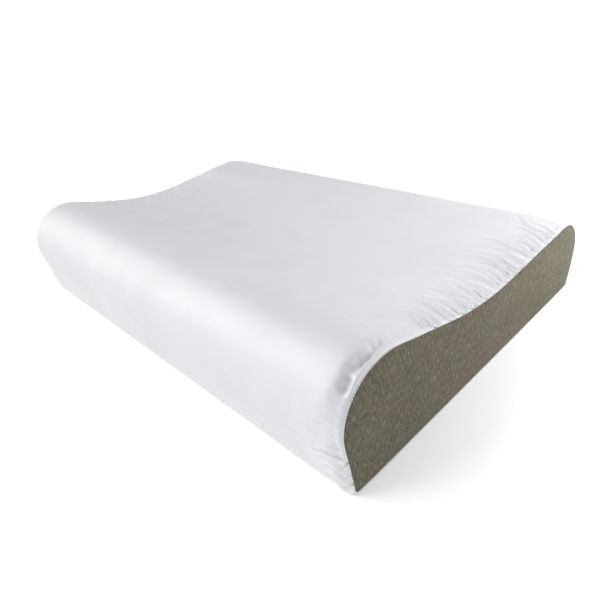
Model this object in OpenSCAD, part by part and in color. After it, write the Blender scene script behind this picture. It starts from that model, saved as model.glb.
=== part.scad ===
// Contoured foam bed pillow in a zipped cover.
// X runs along the length, Y from the high front roll to the low back roll, Z is up.
// The origin is the middle of the footprint, on the surface that the pillow lies on.

/* [Outline] */
// Length of the pillow, end panel to end panel
length = 600; // [500:5:720]
// Depth, from the widest point of the front to the widest point of the back
depth = 400; // [333:1:480]
// Height of the front roll
front_height = 120; // [100:1:144]
// Height of the back roll
back_height = 90; // [75:1:108]
// How far the hollow for the head lies under the back roll
hollow_drop = 8; // [6:0.5:10]
// How far behind the middle of the depth the hollow is deepest
hollow_place = 28; // [22:1:34]
// Height of the widest point of the front face
front_flank_h = 65; // [54:1:78]
// Height of the widest point of the back face
back_flank_h = 48; // [40:1:54]
// How far the front foot stands in from the widest point of the front
front_inset = 8; // [6:0.5:10]
// How far the back foot stands in from the widest point of the back
back_inset = 10; // [8:0.5:12]
// Length of the straight slope between the front roll and the hollow
slope_len = 46; // [38:1:55]
// Radius of the two bottom edges
edge_r = 6; // [5:0.5:8]

/* [Cover] */
// Thickness of the woven top panel and of the base panel
cover_t = 0.9; // [0.6:0.1:1.2]
// Thickness of the knitted end panels
end_t = 1.2; // [0.8:0.1:1.5]
// Width of the turned-in seam allowance
allowance_w = 10; // [8:0.5:12]
// Thickness of a sewing thread row
thread_w = 0.5; // [0.4:0.05:0.6]
// Angle round the front bottom edge at which the top panel meets the base panel
front_seam_angle = 250; // [240:1:262]

/* [Liner] */
// Thickness of the liner cloth
liner_t = 0.7; // [0.5:0.1:0.9]
// Room between an end panel and the liner's end
liner_gap = 0.5; // [0.4:0.05:0.8]
// Distance of the liner's closing seam from the middle of the base
liner_seam_place = 120; // [100:1:145]

/* [Zip] */
// Length of the zip tapes
zip_length = 540; // [450:1:560]
// Width of each tape
tape_w = 11; // [9:0.5:12]
// Thickness of each tape
tape_t = 0.5; // [0.4:0.05:0.6]
// Diameter of each nylon coil
coil_d = 2; // [1.7:0.1:2.3]
// Gap between the two coils
coil_gap = 1.2; // [1:0.1:1.4]
// Half width of the opening in the cover that shows the chain
window_half = 4.2; // [4:0.1:5]
// How far each tape runs on past the end of the opening
tape_tail = 2; // [1.5:0.5:4]
// Width of the bar tack that closes each end of the chain
tack_w = 3; // [2.5:0.5:3.5]
// Distance of the topstitching from the edge of the opening
stitch_inset = 1.6; // [1.3:0.1:1.9]

/* [Slider] */
// Length of the slider
slider_len = 11; // [10:0.5:13]
// Thickness of the slider's two plates
plate_t = 0.8; // [0.7:0.05:0.85]
// Thickness of the slider's side walls
wall_t = 0.7; // [0.6:0.05:0.8]
// Thickness of the wedge between the coils
wedge_t = 0.6; // [0.5:0.05:0.7]
// Running clearance between the slider and the chain
slide_gap = 0.3; // [0.25:0.05:0.35]
// Width of the slider's bridge
bridge_w = 1.6; // [1.4:0.1:1.9]
// Length of the slider's bridge
bridge_len = 7; // [6:0.5:8]
// Thickness of the bridge's bar
bridge_t = 0.8; // [0.7:0.05:0.9]

/* [Pull] */
// Length of the pull, from its pin to its tip
pull_len = 24; // [20:1:29]
// Width of the pull
pull_w = 5.6; // [5:0.1:6.5]
// Thickness of the pull
pull_t = 1; // [0.9:0.05:1.1]
// Diameter of the pull's pin
pin_d = 0.9; // [0.8:0.05:1]
// Clearance round the pin and beside the bridge
pull_gap = 0.2; // [0.15:0.05:0.25]
// Diameter of the hole near the pull's tip
pull_hole_d = 2.4; // [2:0.1:2.9]

/* [Label] */
// Length of the blank care label
label_len = 40; // [33:1:48]
// Width of the blank care label
label_w = 22; // [18:1:26]
// Thickness of the blank care label
label_t = 0.3; // [0.2:0.05:0.4]
// Distance of the label from the middle of the pillow, along its length
label_place = 180; // [150:1:215]

/* [Hidden] */
$fn = 48;
eps = 0.01;
// Hairline gap that keeps a piece from cutting into the cloth that it lies on
hair = 0.02;

// Outline: four convex bends and one hollow bend, joined by straight tangents.
// A hollow bend has a negative radius, so one rule serves every bend.
hollow_height = back_height - hollow_drop;
front_roll_r = front_height - front_flank_h;
back_roll_r = back_height - back_flank_h;
front_roll = [-depth / 2 + front_roll_r, front_flank_h];
back_roll = [depth / 2 - back_roll_r, back_flank_h];
front_foot = [-depth / 2 + front_inset + edge_r, edge_r];
back_foot = [depth / 2 - back_inset - edge_r, edge_r];
slope_run = hollow_place - front_roll[0];
slope_fall = front_height - hollow_height;
hollow_r = (slope_run ^ 2 + slope_fall ^ 2 - slope_len ^ 2) / (2 * slope_fall) - front_roll_r;
hollow = [hollow_place, hollow_height + hollow_r];

// Direction of the outward normal of the straight that joins two bends
function facing(c1, r1, c2, r2) =
  atan2(c2[1] - c1[1], c2[0] - c1[0]) + acos((r1 - r2) / norm(c2 - c1));
front_facing = facing(front_foot, edge_r, front_roll, front_roll_r);
slope_facing = facing(front_roll, front_roll_r, hollow, -hollow_r);
rise_facing = facing(hollow, -hollow_r, back_roll, back_roll_r);
back_facing = facing(back_roll, back_roll_r, back_foot, edge_r);
base_facing = 270;

// Points of one bend between two normals, sunk by a depth under the outer face
function bend(c, r, sink, a1, a2, steps) =
  [for (i = [0 : steps]) let (a = a1 + (a2 - a1) * i / steps) c + (r - sink) * [cos(a), sin(a)]];
function over_the_top(sink) = concat(
  bend(front_roll, front_roll_r, sink, front_facing, slope_facing, 16),
  bend(hollow, -hollow_r, sink, slope_facing, rise_facing, 10),
  bend(back_roll, back_roll_r, sink, rise_facing, back_facing, 14)
);
function outline(sink) = concat(
  bend(front_foot, edge_r, sink, base_facing, front_facing, 4),
  over_the_top(sink),
  bend(back_foot, edge_r, sink, back_facing, base_facing - 360, 4)
);
function reversed(list) = [for (i = [len(list) - 1 : -1 : 0]) list[i]];
function strip(outer, inner) = concat(outer, reversed(inner));

// Back flank: the zip runs along its middle
flank_out = [cos(back_facing), sin(back_facing)];
flank_up = [-sin(back_facing), cos(back_facing)];
zip_mid = (back_roll + back_foot + (back_roll_r + edge_r) * flank_out) / 2;
function flank_point(sink, up) = zip_mid + up * flank_up - sink * flank_out;

// Half a thread row, as an angle round the front bottom edge
thread_half_angle = thread_w / 2 / edge_r * 180 / PI;
function top_line(sink) = concat(
  bend(front_foot, edge_r, sink, front_seam_angle - thread_half_angle, front_facing, 4),
  over_the_top(sink),
  [flank_point(sink, thread_w / 2)]
);
function base_line(sink) = concat(
  [flank_point(sink, -thread_w / 2)],
  bend(back_foot, edge_r, sink, back_facing, base_facing - 360, 4),
  bend(front_foot, edge_r, sink, base_facing, front_seam_angle + thread_half_angle, 2)
);

// Places along the length and under the outer face
end_inner = length / 2 - end_t;
panel_end = end_inner - thread_w;
allowance_sink = 2 * cover_t;
liner_sink = allowance_sink + end_t;
foam_sink = liner_sink + liner_t;
liner_end_outer = end_inner - liner_gap;
foam_end = liner_end_outer - liner_t;
thread_sink = 0.3;
window_end = zip_length / 2 - tape_tail;
tack_x = window_end - tack_w;
coil_end = tack_x - thread_w;

// Heights above the outer face of the back flank
tape_top = -cover_t;
coil_mid = tape_top + coil_d / 2;
coil_up = (coil_gap + coil_d) / 2;
plate_low = tape_top + coil_d + slide_gap;
plate_high = plate_low + plate_t;
under_plate_high = tape_top - tape_t - slide_gap;
wall_low = tape_top + slide_gap;
slider_half_w = coil_gap / 2 + coil_d + slide_gap + wall_t;
slider_x = -coil_end + slider_len / 2 + slide_gap;
pin_out = plate_high + pull_gap + max(pin_d, pull_t) / 2;
eye_high = pin_out + pin_d / 2 + pull_gap;
bridge_high = eye_high + bridge_t;
arm_in = bridge_w / 2 + 2 * pull_gap;
pull_neck = bridge_len / 2 + 2 * pull_gap;
stitch_h = 0.4;

module prism(points, half) {
  rotate([90, 0, 90])
    translate([0, 0, -half])
      linear_extrude(2 * half)
        polygon(points);
}

module shell(sink, thick, half) {
  difference() {
    prism(outline(sink), half);
    prism(outline(sink + thick), half + 1);
  }
}

// A slice of the outline from one place along X to another
module slab(points, x1, x2) {
  translate([(x1 + x2) / 2, 0, 0])
    prism(points, abs(x2 - x1) / 2);
}

module ring(sink, thick, x1, x2) {
  translate([(x1 + x2) / 2, 0, 0])
    shell(sink, thick, abs(x2 - x1) / 2);
}

// Puts its children on the back flank: local Y points out of it, local Z up along it
module on_flank() {
  translate([0, zip_mid[0], zip_mid[1]])
    rotate([back_facing, 0, 0])
      children();
}

// A box between two corners
module block(low, high) {
  translate(low)
    cube(high - low);
}

module foam_core() {
  color("lightyellow")
    prism(outline(foam_sink), foam_end);
}

module liner_slot(extra) {
  block(
    [-length, liner_seam_place - thread_w / 2 - extra, 0],
    [length, liner_seam_place + thread_w / 2 + extra, edge_r]
  );
}

module liner_wrap() {
  color("ghostwhite")
    difference() {
      shell(liner_sink, liner_t, foam_end - thread_w);
      liner_slot(0);
    }
}

module liner_end(side) {
  color("ghostwhite")
    slab(outline(liner_sink), side * foam_end, side * liner_end_outer);
}

module liner_seam_thread(side) {
  color("silver")
    ring(liner_sink, liner_t, side * (foam_end - thread_w), side * foam_end);
}

module liner_closing_thread() {
  color("silver")
    intersection() {
      shell(liner_sink, liner_t, foam_end - thread_w);
      liner_slot(0);
    }
}

module window() {
  on_flank()
    block([-window_end, -2 * cover_t, -window_half], [window_end, cover_t, window_half]);
}

module cover_top_panel() {
  color("white") {
    difference() {
      prism(strip(top_line(0), top_line(cover_t)), panel_end);
      window();
    }
    for (side = [-1, 1])
      slab(
        strip(top_line(cover_t), top_line(allowance_sink)),
        side * (panel_end - allowance_w), side * panel_end
      );
  }
}

module cover_base_panel() {
  color("dimgray")
    difference() {
      prism(strip(base_line(0), base_line(cover_t)), panel_end);
      window();
    }
}

module cover_end(side) {
  color([0.47, 0.44, 0.37]) {
    slab(outline(0), side * end_inner, side * length / 2);
    ring(
      allowance_sink + hair, end_t - 2 * hair,
      side * (end_inner - allowance_w), side * end_inner
    );
  }
}

module end_seam_thread(side) {
  color("gainsboro")
    ring(thread_sink, cover_t - thread_sink, side * panel_end, side * end_inner);
}

module front_seam_thread() {
  half_angle = thread_half_angle * (1 - hair);
  angles = [front_seam_angle + half_angle, front_seam_angle - half_angle];
  color("gainsboro")
    prism(
      strip(
        bend(front_foot, edge_r, thread_sink, angles[0], angles[1], 1),
        bend(front_foot, edge_r, cover_t, angles[0], angles[1], 1)
      ),
      panel_end
    );
}

module back_seam_thread() {
  color("gainsboro")
    on_flank()
      for (side = [-1, 1])
        translate([side * (window_end + panel_end) / 2, 0, 0])
          block(
            [-(panel_end - window_end) / 2, -cover_t, -thread_w / 2],
            [(panel_end - window_end) / 2, -thread_sink, thread_w / 2]
          );
}

module zip_tape(side) {
  color("whitesmoke")
    on_flank()
      translate([0, 0, side * (coil_gap + tape_w) / 2])
        block(
          [-zip_length / 2, tape_top - tape_t, -tape_w / 2],
          [zip_length / 2, tape_top, tape_w / 2]
        );
}

module zip_coil(side) {
  color("white")
    on_flank()
      translate([-coil_end, coil_mid, side * coil_up])
        rotate([0, 90, 0])
          cylinder(h = 2 * coil_end, d = coil_d);
}

module zip_topstitch(side) {
  color("white")
    on_flank()
      translate([0, 0, side * (window_half + stitch_inset)])
        block([-window_end, hair, -thread_w / 2], [window_end, stitch_h, thread_w / 2]);
}

module zip_bar_tack(side) {
  color("white")
    on_flank()
      translate([side * (tack_x + tack_w / 2), 0, 0])
        block(
          [-tack_w / 2, tape_top, -window_half],
          [tack_w / 2, tape_top + coil_d, window_half]
        );
}

// Slider plate: wide at the mouth where the open coils enter, narrow behind
module slider_plate(low) {
  shoulder = slider_len / 5;
  points = [
    [-slider_len / 2, slider_half_w * 0.8],
    [-shoulder, slider_half_w],
    [shoulder, slider_half_w],
    [slider_len / 2, slider_half_w * 0.86],
    [slider_len / 2, -slider_half_w * 0.86],
    [shoulder, -slider_half_w],
    [-shoulder, -slider_half_w],
    [-slider_len / 2, -slider_half_w * 0.8]
  ];
  translate([0, low + plate_t, 0])
    rotate([90, 0, 0])
      linear_extrude(plate_t)
        polygon(points);
}

module zip_slider() {
  shoulder = slider_len / 5;
  eye_half = bridge_len / 2 - bridge_t;
  color("darkgray")
    on_flank()
      translate([slider_x, 0, 0]) {
        slider_plate(plate_low);
        slider_plate(under_plate_high - plate_t);
        block(
          [-slider_len / 2 + 1, under_plate_high - plate_t, -wedge_t / 2],
          [-shoulder / 2, plate_high, wedge_t / 2]
        );
        for (side = [-1, 1])
          translate([0, 0, side * (slider_half_w - wall_t / 2)])
            block([-shoulder, wall_low, -wall_t / 2], [shoulder, plate_high, wall_t / 2]);
        difference() {
          block(
            [-bridge_len / 2, plate_high - eps, -bridge_w / 2],
            [bridge_len / 2, bridge_high, bridge_w / 2]
          );
          block([-eye_half, plate_high - 1, -bridge_w], [eye_half, eye_high, bridge_w]);
        }
      }
}

module pull_blank() {
  tip_r = pull_w / 2;
  translate([0, pull_t / 2, 0])
    rotate([90, 0, 0])
      difference() {
        union() {
          translate([pull_neck, -tip_r, 0])
            cube([pull_len - tip_r - pull_neck, pull_w, pull_t]);
          translate([pull_len - tip_r, 0, 0])
            cylinder(h = pull_t, r = tip_r);
        }
        translate([pull_len - tip_r, 0, -1])
          cylinder(h = pull_t + 2, d = pull_hole_d);
      }
}

module zip_pull() {
  arm_w = pull_w / 2 - arm_in;
  color("lightgray")
    on_flank()
      translate([slider_x, pin_out, 0]) {
        pull_blank();
        translate([0, 0, -pull_w / 2])
          cylinder(h = pull_w, d = pin_d);
        for (side = [-1, 1])
          translate([0, 0, side * (arm_in + arm_w / 2) - arm_w / 2]) {
            cylinder(h = arm_w, d = pull_t);
            translate([0, -pull_t / 2, 0])
              cube([pull_neck + 1, pull_t, arm_w]);
          }
      }
}

module care_label() {
  color("white")
    block(
      [-label_place - label_len / 2, back_foot[0] - label_w, cover_t],
      [-label_place + label_len / 2, back_foot[0], cover_t + label_t]
    );
}

foam_core();
liner_wrap();
liner_end(-1);  // liner_end_left
liner_end(1);  // liner_end_right
liner_seam_thread(-1);  // liner_seam_thread_left
liner_seam_thread(1);  // liner_seam_thread_right
liner_closing_thread();
cover_top_panel();
cover_base_panel();
cover_end(-1);  // cover_end_left
cover_end(1);  // cover_end_right
end_seam_thread(-1);  // end_seam_thread_left
end_seam_thread(1);  // end_seam_thread_right
front_seam_thread();
back_seam_thread();
zip_tape(1);  // zip_tape_upper
zip_tape(-1);  // zip_tape_lower
zip_coil(1);  // zip_coil_upper
zip_coil(-1);  // zip_coil_lower
zip_topstitch(1);  // zip_topstitch_upper
zip_topstitch(-1);  // zip_topstitch_lower
zip_bar_tack(-1);  // zip_bar_tack_left
zip_bar_tack(1);  // zip_bar_tack_right
zip_slider();
zip_pull();
care_label();
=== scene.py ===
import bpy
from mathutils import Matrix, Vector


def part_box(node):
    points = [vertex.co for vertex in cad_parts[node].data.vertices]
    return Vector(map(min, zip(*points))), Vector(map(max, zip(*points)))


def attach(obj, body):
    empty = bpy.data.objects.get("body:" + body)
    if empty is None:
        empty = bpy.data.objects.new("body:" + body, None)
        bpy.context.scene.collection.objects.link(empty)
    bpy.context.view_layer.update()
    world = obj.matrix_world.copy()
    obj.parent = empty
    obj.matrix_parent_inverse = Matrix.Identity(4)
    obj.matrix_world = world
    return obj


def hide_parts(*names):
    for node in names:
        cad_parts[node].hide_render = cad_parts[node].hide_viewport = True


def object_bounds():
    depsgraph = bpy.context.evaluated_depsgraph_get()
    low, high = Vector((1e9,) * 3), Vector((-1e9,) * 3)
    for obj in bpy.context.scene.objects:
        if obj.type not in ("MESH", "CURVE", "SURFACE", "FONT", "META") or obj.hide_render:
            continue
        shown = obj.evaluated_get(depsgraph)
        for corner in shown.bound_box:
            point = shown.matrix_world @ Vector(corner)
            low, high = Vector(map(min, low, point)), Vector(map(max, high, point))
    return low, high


bl_info = {
    "name": "Contoured Bed Pillow",
    "version": (1, 0, 0),
    "blender": (4, 5, 0),
    "location": "View3D > Sidebar > Bed Pillow",
    "description": "Sews the cover, zip and liner of a contoured foam pillow round its packed frame",
    "category": "Add Mesh",
}

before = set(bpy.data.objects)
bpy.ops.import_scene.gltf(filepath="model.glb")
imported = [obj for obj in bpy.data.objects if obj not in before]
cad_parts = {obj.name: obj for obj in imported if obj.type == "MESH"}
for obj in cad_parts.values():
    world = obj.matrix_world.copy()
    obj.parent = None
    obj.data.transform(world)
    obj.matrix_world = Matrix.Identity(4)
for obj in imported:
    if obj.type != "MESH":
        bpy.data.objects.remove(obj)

import math

import bpy
import numpy as np
from mathutils import Matrix, Vector
from mathutils.geometry import delaunay_2d_cdt

CAD_LOW, CAD_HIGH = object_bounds()
MM = 0.001
HALF_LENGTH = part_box("cover_end_right")[1].x
UV_NAME = "cloth"
SEED = 7
EDGE_REACH = 22 * MM

# the liner's stitches are this many times as far apart as the cover's
LINER_PITCH = 1.3

# the strip of the top that settles by simulation, measured from the end, and how far it may move
SETTLE_START = 1.1 * MM
SETTLE_END = 78 * MM
SETTLE_FADE = (60 * MM, 76 * MM)
SETTLE_IN = 1.1 * MM
SETTLE_OUT = 3.2 * MM

# the left end is gathered less than the right one: its share of the gathers and of the fullness
LEFT_GATHERS = 0.35
LEFT_FULLNESS = 0.4
GATHERS_REACH = 0.12

# how far the back seam keeps clear of the pillow's ends and of the zip
SEAM_END_GAP = 2 * MM
SEAM_ZIP_GAP = 4 * MM

# the zip: how far the coils stop short of their CAD ends, half the height of a bar tack and its rows
# of thread, and how near two points of the slider are joined and how round its edges are
COIL_END_GAP = 0.8 * MM
TACK_HALF = 4.1 * MM
TACK_ROWS = 22
SLIDER_WELD = 0.00002
SLIDER_ROUNDING = 0.00016

RIBBON_THICKNESS = 0.00018

# the studio: light strengths in Blender's units, places in metres, the sun's width in degrees
SKY_STRENGTH = 0.585
SKY_COLOUR = (0.965, 0.98, 1.0, 1)
SUN_PLACE = (-0.68, -0.5, 0.56)
SUN_STRENGTH = 2.4
SUN_WIDTH = 55
SUN_COLOUR = (1.0, 0.992, 0.975)
BACK_LIGHT_PLACE = (0.62, 0.42, 0.26)
BACK_LIGHT_TARGET = (0.3, 0.1, 0.06)
BACK_LIGHT_SIZE = (0.3, 0.24)
BACK_LIGHT_WATTS = 3.7
FLOOR_GLOW = 0.12
FLOOR_DROP = 0.0004
FLOOR_RINGS = (0.5, 1.5, 4.0, 10.0, 30.0, 60.0)
CAMERA_AZIMUTH = 50.135
CAMERA_ELEVATION = 31.79
CAMERA_ROLL = -8.9
CAMERA_TARGET = (0.0503, 0.0, -0.0173)
CAMERA_DISTANCE = 0.66276
SENSOR_WIDTH = 36.0
LENS = 29.6091


# ---------------------------------------------------------------- the pillow's outline

def end_panel_loop():
    """The outline of the right end panel's outer face, as (y, z) points in order round the edge."""
    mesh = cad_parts["cover_end_right"].data
    points = np.array([v.co for v in mesh.vertices])
    outer = points[:, 0].max()
    number = {}
    ids = [number.setdefault(tuple(np.round(p, 6)), len(number)) for p in points]
    places = np.array(list(number))
    flush = np.abs(places[:, 0] - outer) < 1e-5
    uses = {}
    for face in mesh.polygons:
        corners = [ids[i] for i in face.vertices]
        if flush[corners].all():
            for a, b in zip(corners, corners[1:] + corners[:1]):
                edge = (min(a, b), max(a, b))
                uses[edge] = uses.get(edge, 0) + 1
    beside = {}
    for (a, b), count in uses.items():
        if count == 1:
            beside.setdefault(a, []).append(b)
            beside.setdefault(b, []).append(a)
    start = next(iter(beside))
    loop = [start]
    last = None
    here = start
    while True:
        following = [p for p in beside[here] if p != last]
        last, here = here, following[0]
        if here == start:
            break
        loop.append(here)
    return places[loop][:, 1:]


def ring_blur(values, width, step):
    """Values round a closed line, softened by a bell curve of that width."""
    reach = max(1, int(4 * width / step))
    offsets = np.arange(-reach, reach + 1)
    weights = np.exp(-0.5 * (offsets * step / width) ** 2)
    weights /= weights.sum()
    padded = np.concatenate([values[-reach:], values, values[:reach]])
    return np.convolve(padded, weights, "valid")


class Outline:
    """The cover's outline in the end plane. s runs from the front seam up over the front roll,
    through the head hollow and over the back roll, down to the zip, and back under the base."""

    STEP = 1 * MM
    SOFT = 2.5 * MM

    def __init__(self):
        loop = end_panel_loop()
        area = np.sum(loop[:, 0] * np.roll(loop[:, 1], -1) - np.roll(loop[:, 0], -1) * loop[:, 1])
        if area > 0:
            loop = loop[::-1]
        low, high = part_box("front_seam_thread")
        seam = np.array([(low.y + high.y) / 2, (low.z + high.z) / 2])
        closed = np.vstack([loop, loop[:1]])
        lengths = np.linalg.norm(np.diff(closed, axis=0), axis=1)
        along = np.concatenate([[0], np.cumsum(lengths)])
        count = int(along[-1] / self.STEP)
        at = np.arange(count) * along[-1] / count
        line = np.column_stack([np.interp(at, along, closed[:, i]) for i in (0, 1)])
        first = int(np.argmin(np.linalg.norm(line - seam, axis=1)))
        line = np.roll(line, -first, axis=0)
        line = np.column_stack([ring_blur(line[:, i], self.SOFT, self.STEP) for i in (0, 1)])
        line[:, 1] = np.maximum(line[:, 1], 0)
        closed = np.vstack([line, line[:1]])
        lengths = np.linalg.norm(np.diff(closed, axis=0), axis=1)
        self.along = np.concatenate([[0], np.cumsum(lengths)])
        self.total = self.along[-1]
        tangent = np.roll(line, -1, axis=0) - np.roll(line, 1, axis=0)
        tangent /= np.linalg.norm(tangent, axis=1)[:, None]
        normal = np.column_stack([-tangent[:, 1], tangent[:, 0]])
        self.line = closed
        self.normal = np.vstack([normal, normal[:1]])

    def at(self, s):
        """The outline's own (y, z) at s."""
        s = np.mod(s, self.total)
        return np.stack([np.interp(s, self.along, self.line[:, i]) for i in (0, 1)], -1)

    def out(self, s):
        """The way straight out from the outline at s, as (y, z)."""
        s = np.mod(s, self.total)
        n = np.stack([np.interp(s, self.along, self.normal[:, i]) for i in (0, 1)], -1)
        return n / np.linalg.norm(n, axis=-1, keepdims=True)

    def nearest(self, y, z):
        """s at the outline's point nearest to (y, z)."""
        return self.along[int(np.argmin(np.hypot(self.line[:-1, 0] - y, self.line[:-1, 1] - z)))]

    def place(self, s, n, x):
        """The point n outside the outline at s, in the cross-section at x."""
        s, n, x = np.broadcast_arrays(s, n, x)
        p = self.at(s) + self.out(s) * n[..., None]
        return np.concatenate([x[..., None], p], -1)


OUTLINE = Outline()


def middle_of(*nodes):
    """The middle of the box round those CAD nodes."""
    lows = np.array([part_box(n)[0] for n in nodes])
    highs = np.array([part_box(n)[1] for n in nodes])
    return (lows.min(0) + highs.max(0)) / 2


ZIP_MIDDLE = middle_of("zip_coil_upper", "zip_coil_lower")
ZIP_S = OUTLINE.nearest(ZIP_MIDDLE[1], ZIP_MIDDLE[2])
ZIP_AT = OUTLINE.at(ZIP_S)
ZIP_OUT = OUTLINE.out(ZIP_S)
ZIP_UP = np.array([-ZIP_OUT[1], ZIP_OUT[0]])
WINDOW_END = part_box("zip_bar_tack_right")[1].x
TAPE_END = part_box("zip_tape_upper")[1].x
COIL_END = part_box("zip_coil_upper")[1].x


def bump(value, middle, width):
    """A bell curve, 1 at the middle."""
    return np.exp(-((value - middle) / width) ** 2)


def ease(value, low, high):
    """0 up to low, 1 from high on, and smooth between them."""
    share = np.clip((value - low) / (high - low), 0, 1)
    return share * share * (3 - 2 * share)


CREST_S = OUTLINE.along[int(np.argmax(OUTLINE.line[:, 1]))]
BACK_CREST_S = OUTLINE.nearest(*OUTLINE.line[:-1][
    np.where(OUTLINE.line[:-1, 0] > 0.1, OUTLINE.line[:-1, 1], 0).argmax()])
HOLLOW_S = OUTLINE.along[:-1][
    np.where((OUTLINE.along[:-1] > CREST_S) & (OUTLINE.along[:-1] < BACK_CREST_S),
             OUTLINE.line[:-1, 1], 1).argmin()]
BACK_TOE_S = OUTLINE.nearest(OUTLINE.line[:, 0].max() - 0.016, 0.0)


def seam_inset(s):
    """How far inside the outline the end seam runs, round the outline."""
    s = np.mod(s, OUTLINE.total)
    knots = np.array([0, 0.03, 0.07, CREST_S - 0.04, CREST_S - 0.005, CREST_S + 0.035, CREST_S + 0.075,
                      HOLLOW_S + 0.03, BACK_CREST_S - 0.01, ZIP_S - 0.02, BACK_TOE_S, BACK_TOE_S + 0.05,
                      OUTLINE.total - 0.03, OUTLINE.total])
    depth = np.array([2.4, 4.4, 5.4, 8.0, 9.6, 7.2, 3.6, 2.4, 3.4, 3.0, 2.0, 1.6, 1.6, 2.4]) * MM
    rounded = 0
    for shift in (-12, -6, 0, 6, 12):
        rounded = rounded + np.interp(np.mod(s + shift * MM, OUTLINE.total), knots, depth) / 5
    return rounded


def end_rounding(s, t):
    """How far the rounded ends of the foam draw in from the outline, at s round it and t from the end."""
    share = np.clip(1 - t / EDGE_REACH, 0, 1)
    return seam_inset(s) * share * share


# ---------------------------------------------------------------- meshes

def grid_faces(rows, columns):
    """Quads of a grid of points, row by row."""
    r, c = np.meshgrid(np.arange(rows - 1), np.arange(columns - 1), indexing="ij")
    a = r * columns + c
    b = a + columns
    return np.stack([a, a + 1, b + 1, b], -1).reshape(-1, 4)


def wrap_faces(rows, columns):
    """Quads that join the last column of a grid back to its first one."""
    r = np.arange(rows - 1)
    a = r * columns + columns - 1
    b = r * columns
    return np.stack([a, b, b + columns, a + columns], -1)


def make_mesh(name, points, faces, uv=None):
    mesh = bpy.data.meshes.new(name)
    places = np.asarray(points, float).reshape(-1, 3).tolist()
    mesh.from_pydata(places, [], [list(map(int, f)) for f in faces])
    mesh.validate()
    mesh.polygons.foreach_set("use_smooth", [True] * len(mesh.polygons))
    if uv is not None:
        corners = np.zeros(len(mesh.loops), np.int64)
        mesh.loops.foreach_get("vertex_index", corners)
        layer = mesh.uv_layers.new(name=UV_NAME)
        layer.data.foreach_set("uv", np.asarray(uv, np.float32).reshape(-1, 2)[corners].ravel())
    mesh.update()
    return mesh


def add_piece(name, mesh, material, nodes=(), body="pillow"):
    piece = bpy.data.objects.new(name, mesh)
    bpy.context.scene.collection.objects.link(piece)
    mesh.materials.append(material)
    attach(piece, body)
    if nodes:
        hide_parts(*nodes)
    return piece


def spline_through(knots, count):
    """A smooth line of count points through the knots (Catmull-Rom)."""
    k = np.asarray(knots, float)
    k = np.vstack([2 * k[0] - k[1], k, 2 * k[-1] - k[-2]])
    t = np.linspace(0, len(k) - 3, count)
    i = np.minimum(t.astype(int), len(k) - 4)
    f = (t - i)[:, None]
    a, b, c, d = k[i], k[i + 1], k[i + 2], k[i + 3]
    return 0.5 * (2 * b + (c - a) * f + (2 * a - 5 * b + 4 * c - d) * f ** 2
                  + (3 * b - 3 * c + d - a) * f ** 3)


def slow_waves(a, b, rng, count, length, height):
    """A gentle unevenness over two directions, from count long waves."""
    total = np.zeros(np.broadcast(a, b).shape)
    for _ in range(count):
        way = rng.uniform(0, 2 * math.pi)
        long = length * rng.uniform(0.7, 1.5)
        phase = rng.uniform(0, 2 * math.pi)
        total += np.sin(2 * math.pi * (a * math.cos(way) + b * math.sin(way)) / long + phase)
    return total * height / math.sqrt(count)


# ---------------------------------------------------------------- the cover's panels

def edge_knots():
    """The sewn edge of a panel: (distance from the end, share of the seam's inset, extra depth), from the
    turned-in allowance out to the open cloth. Millimetres but for the share."""
    return np.array([
        (4.0, 1.0, 4.2),
        (2.2, 1.0, 2.6),
        (1.2, 1.0, 1.2),
        (0.95, 1.0, 0.4),
        (0.7, 0.97, -0.05),
        (1.1, 0.87, -0.3),
        (2.4, 0.74, -0.25),
        (4.4, 0.64, -0.05),
        (6.6, 0.53, 0.1),
        (9.2, 0.38, 0.05),
        (12.4, 0.2, 0.0),
        (16.5, 0.06, 0.0),
        (22.0, 0.0, 0.0),
    ])


def end_stations(edge_count, near, near_step, far_step):
    """Columns of a panel from the left end to the right one: x, share of the seam's inset, extra depth.
    Past the sewn edge they step by near_step, then ever wider up to far_step."""
    edge = spline_through(edge_knots(), edge_count)
    t = edge[:, 0] * MM
    share = np.maximum(edge[:, 1], 0)
    extra = edge[:, 2] * MM
    steps = [t[-1]]
    step = near_step
    while steps[-1] < HALF_LENGTH - far_step:
        if steps[-1] > near:
            step = min(far_step, step * 1.18)
        steps.append(steps[-1] + step)
    steps = np.array(steps[1:])
    beyond = steps > near
    span = steps[-1] + step - near
    steps[beyond] = near + (steps[beyond] - near) * (HALF_LENGTH - near) / span
    t = np.concatenate([t, steps])
    share = np.concatenate([share, np.zeros(len(steps))])
    extra = np.concatenate([extra, np.zeros(len(steps))])
    x = HALF_LENGTH - t
    x = np.concatenate([-x, [0], x[::-1]])
    share = np.concatenate([share, [0], share[::-1]])
    extra = np.concatenate([extra, [0], extra[::-1]])
    return x, share, extra


def hollow_share(s, starts, full, ends):
    """1 in the head hollow and 0 on the rolls. It starts and is full at those distances behind the front
    crest, and ends over the last one before the back crest."""
    behind = ease(s, CREST_S + starts, CREST_S + full)
    return behind * (1 - ease(s, BACK_CREST_S - ends, BACK_CREST_S))


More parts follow.
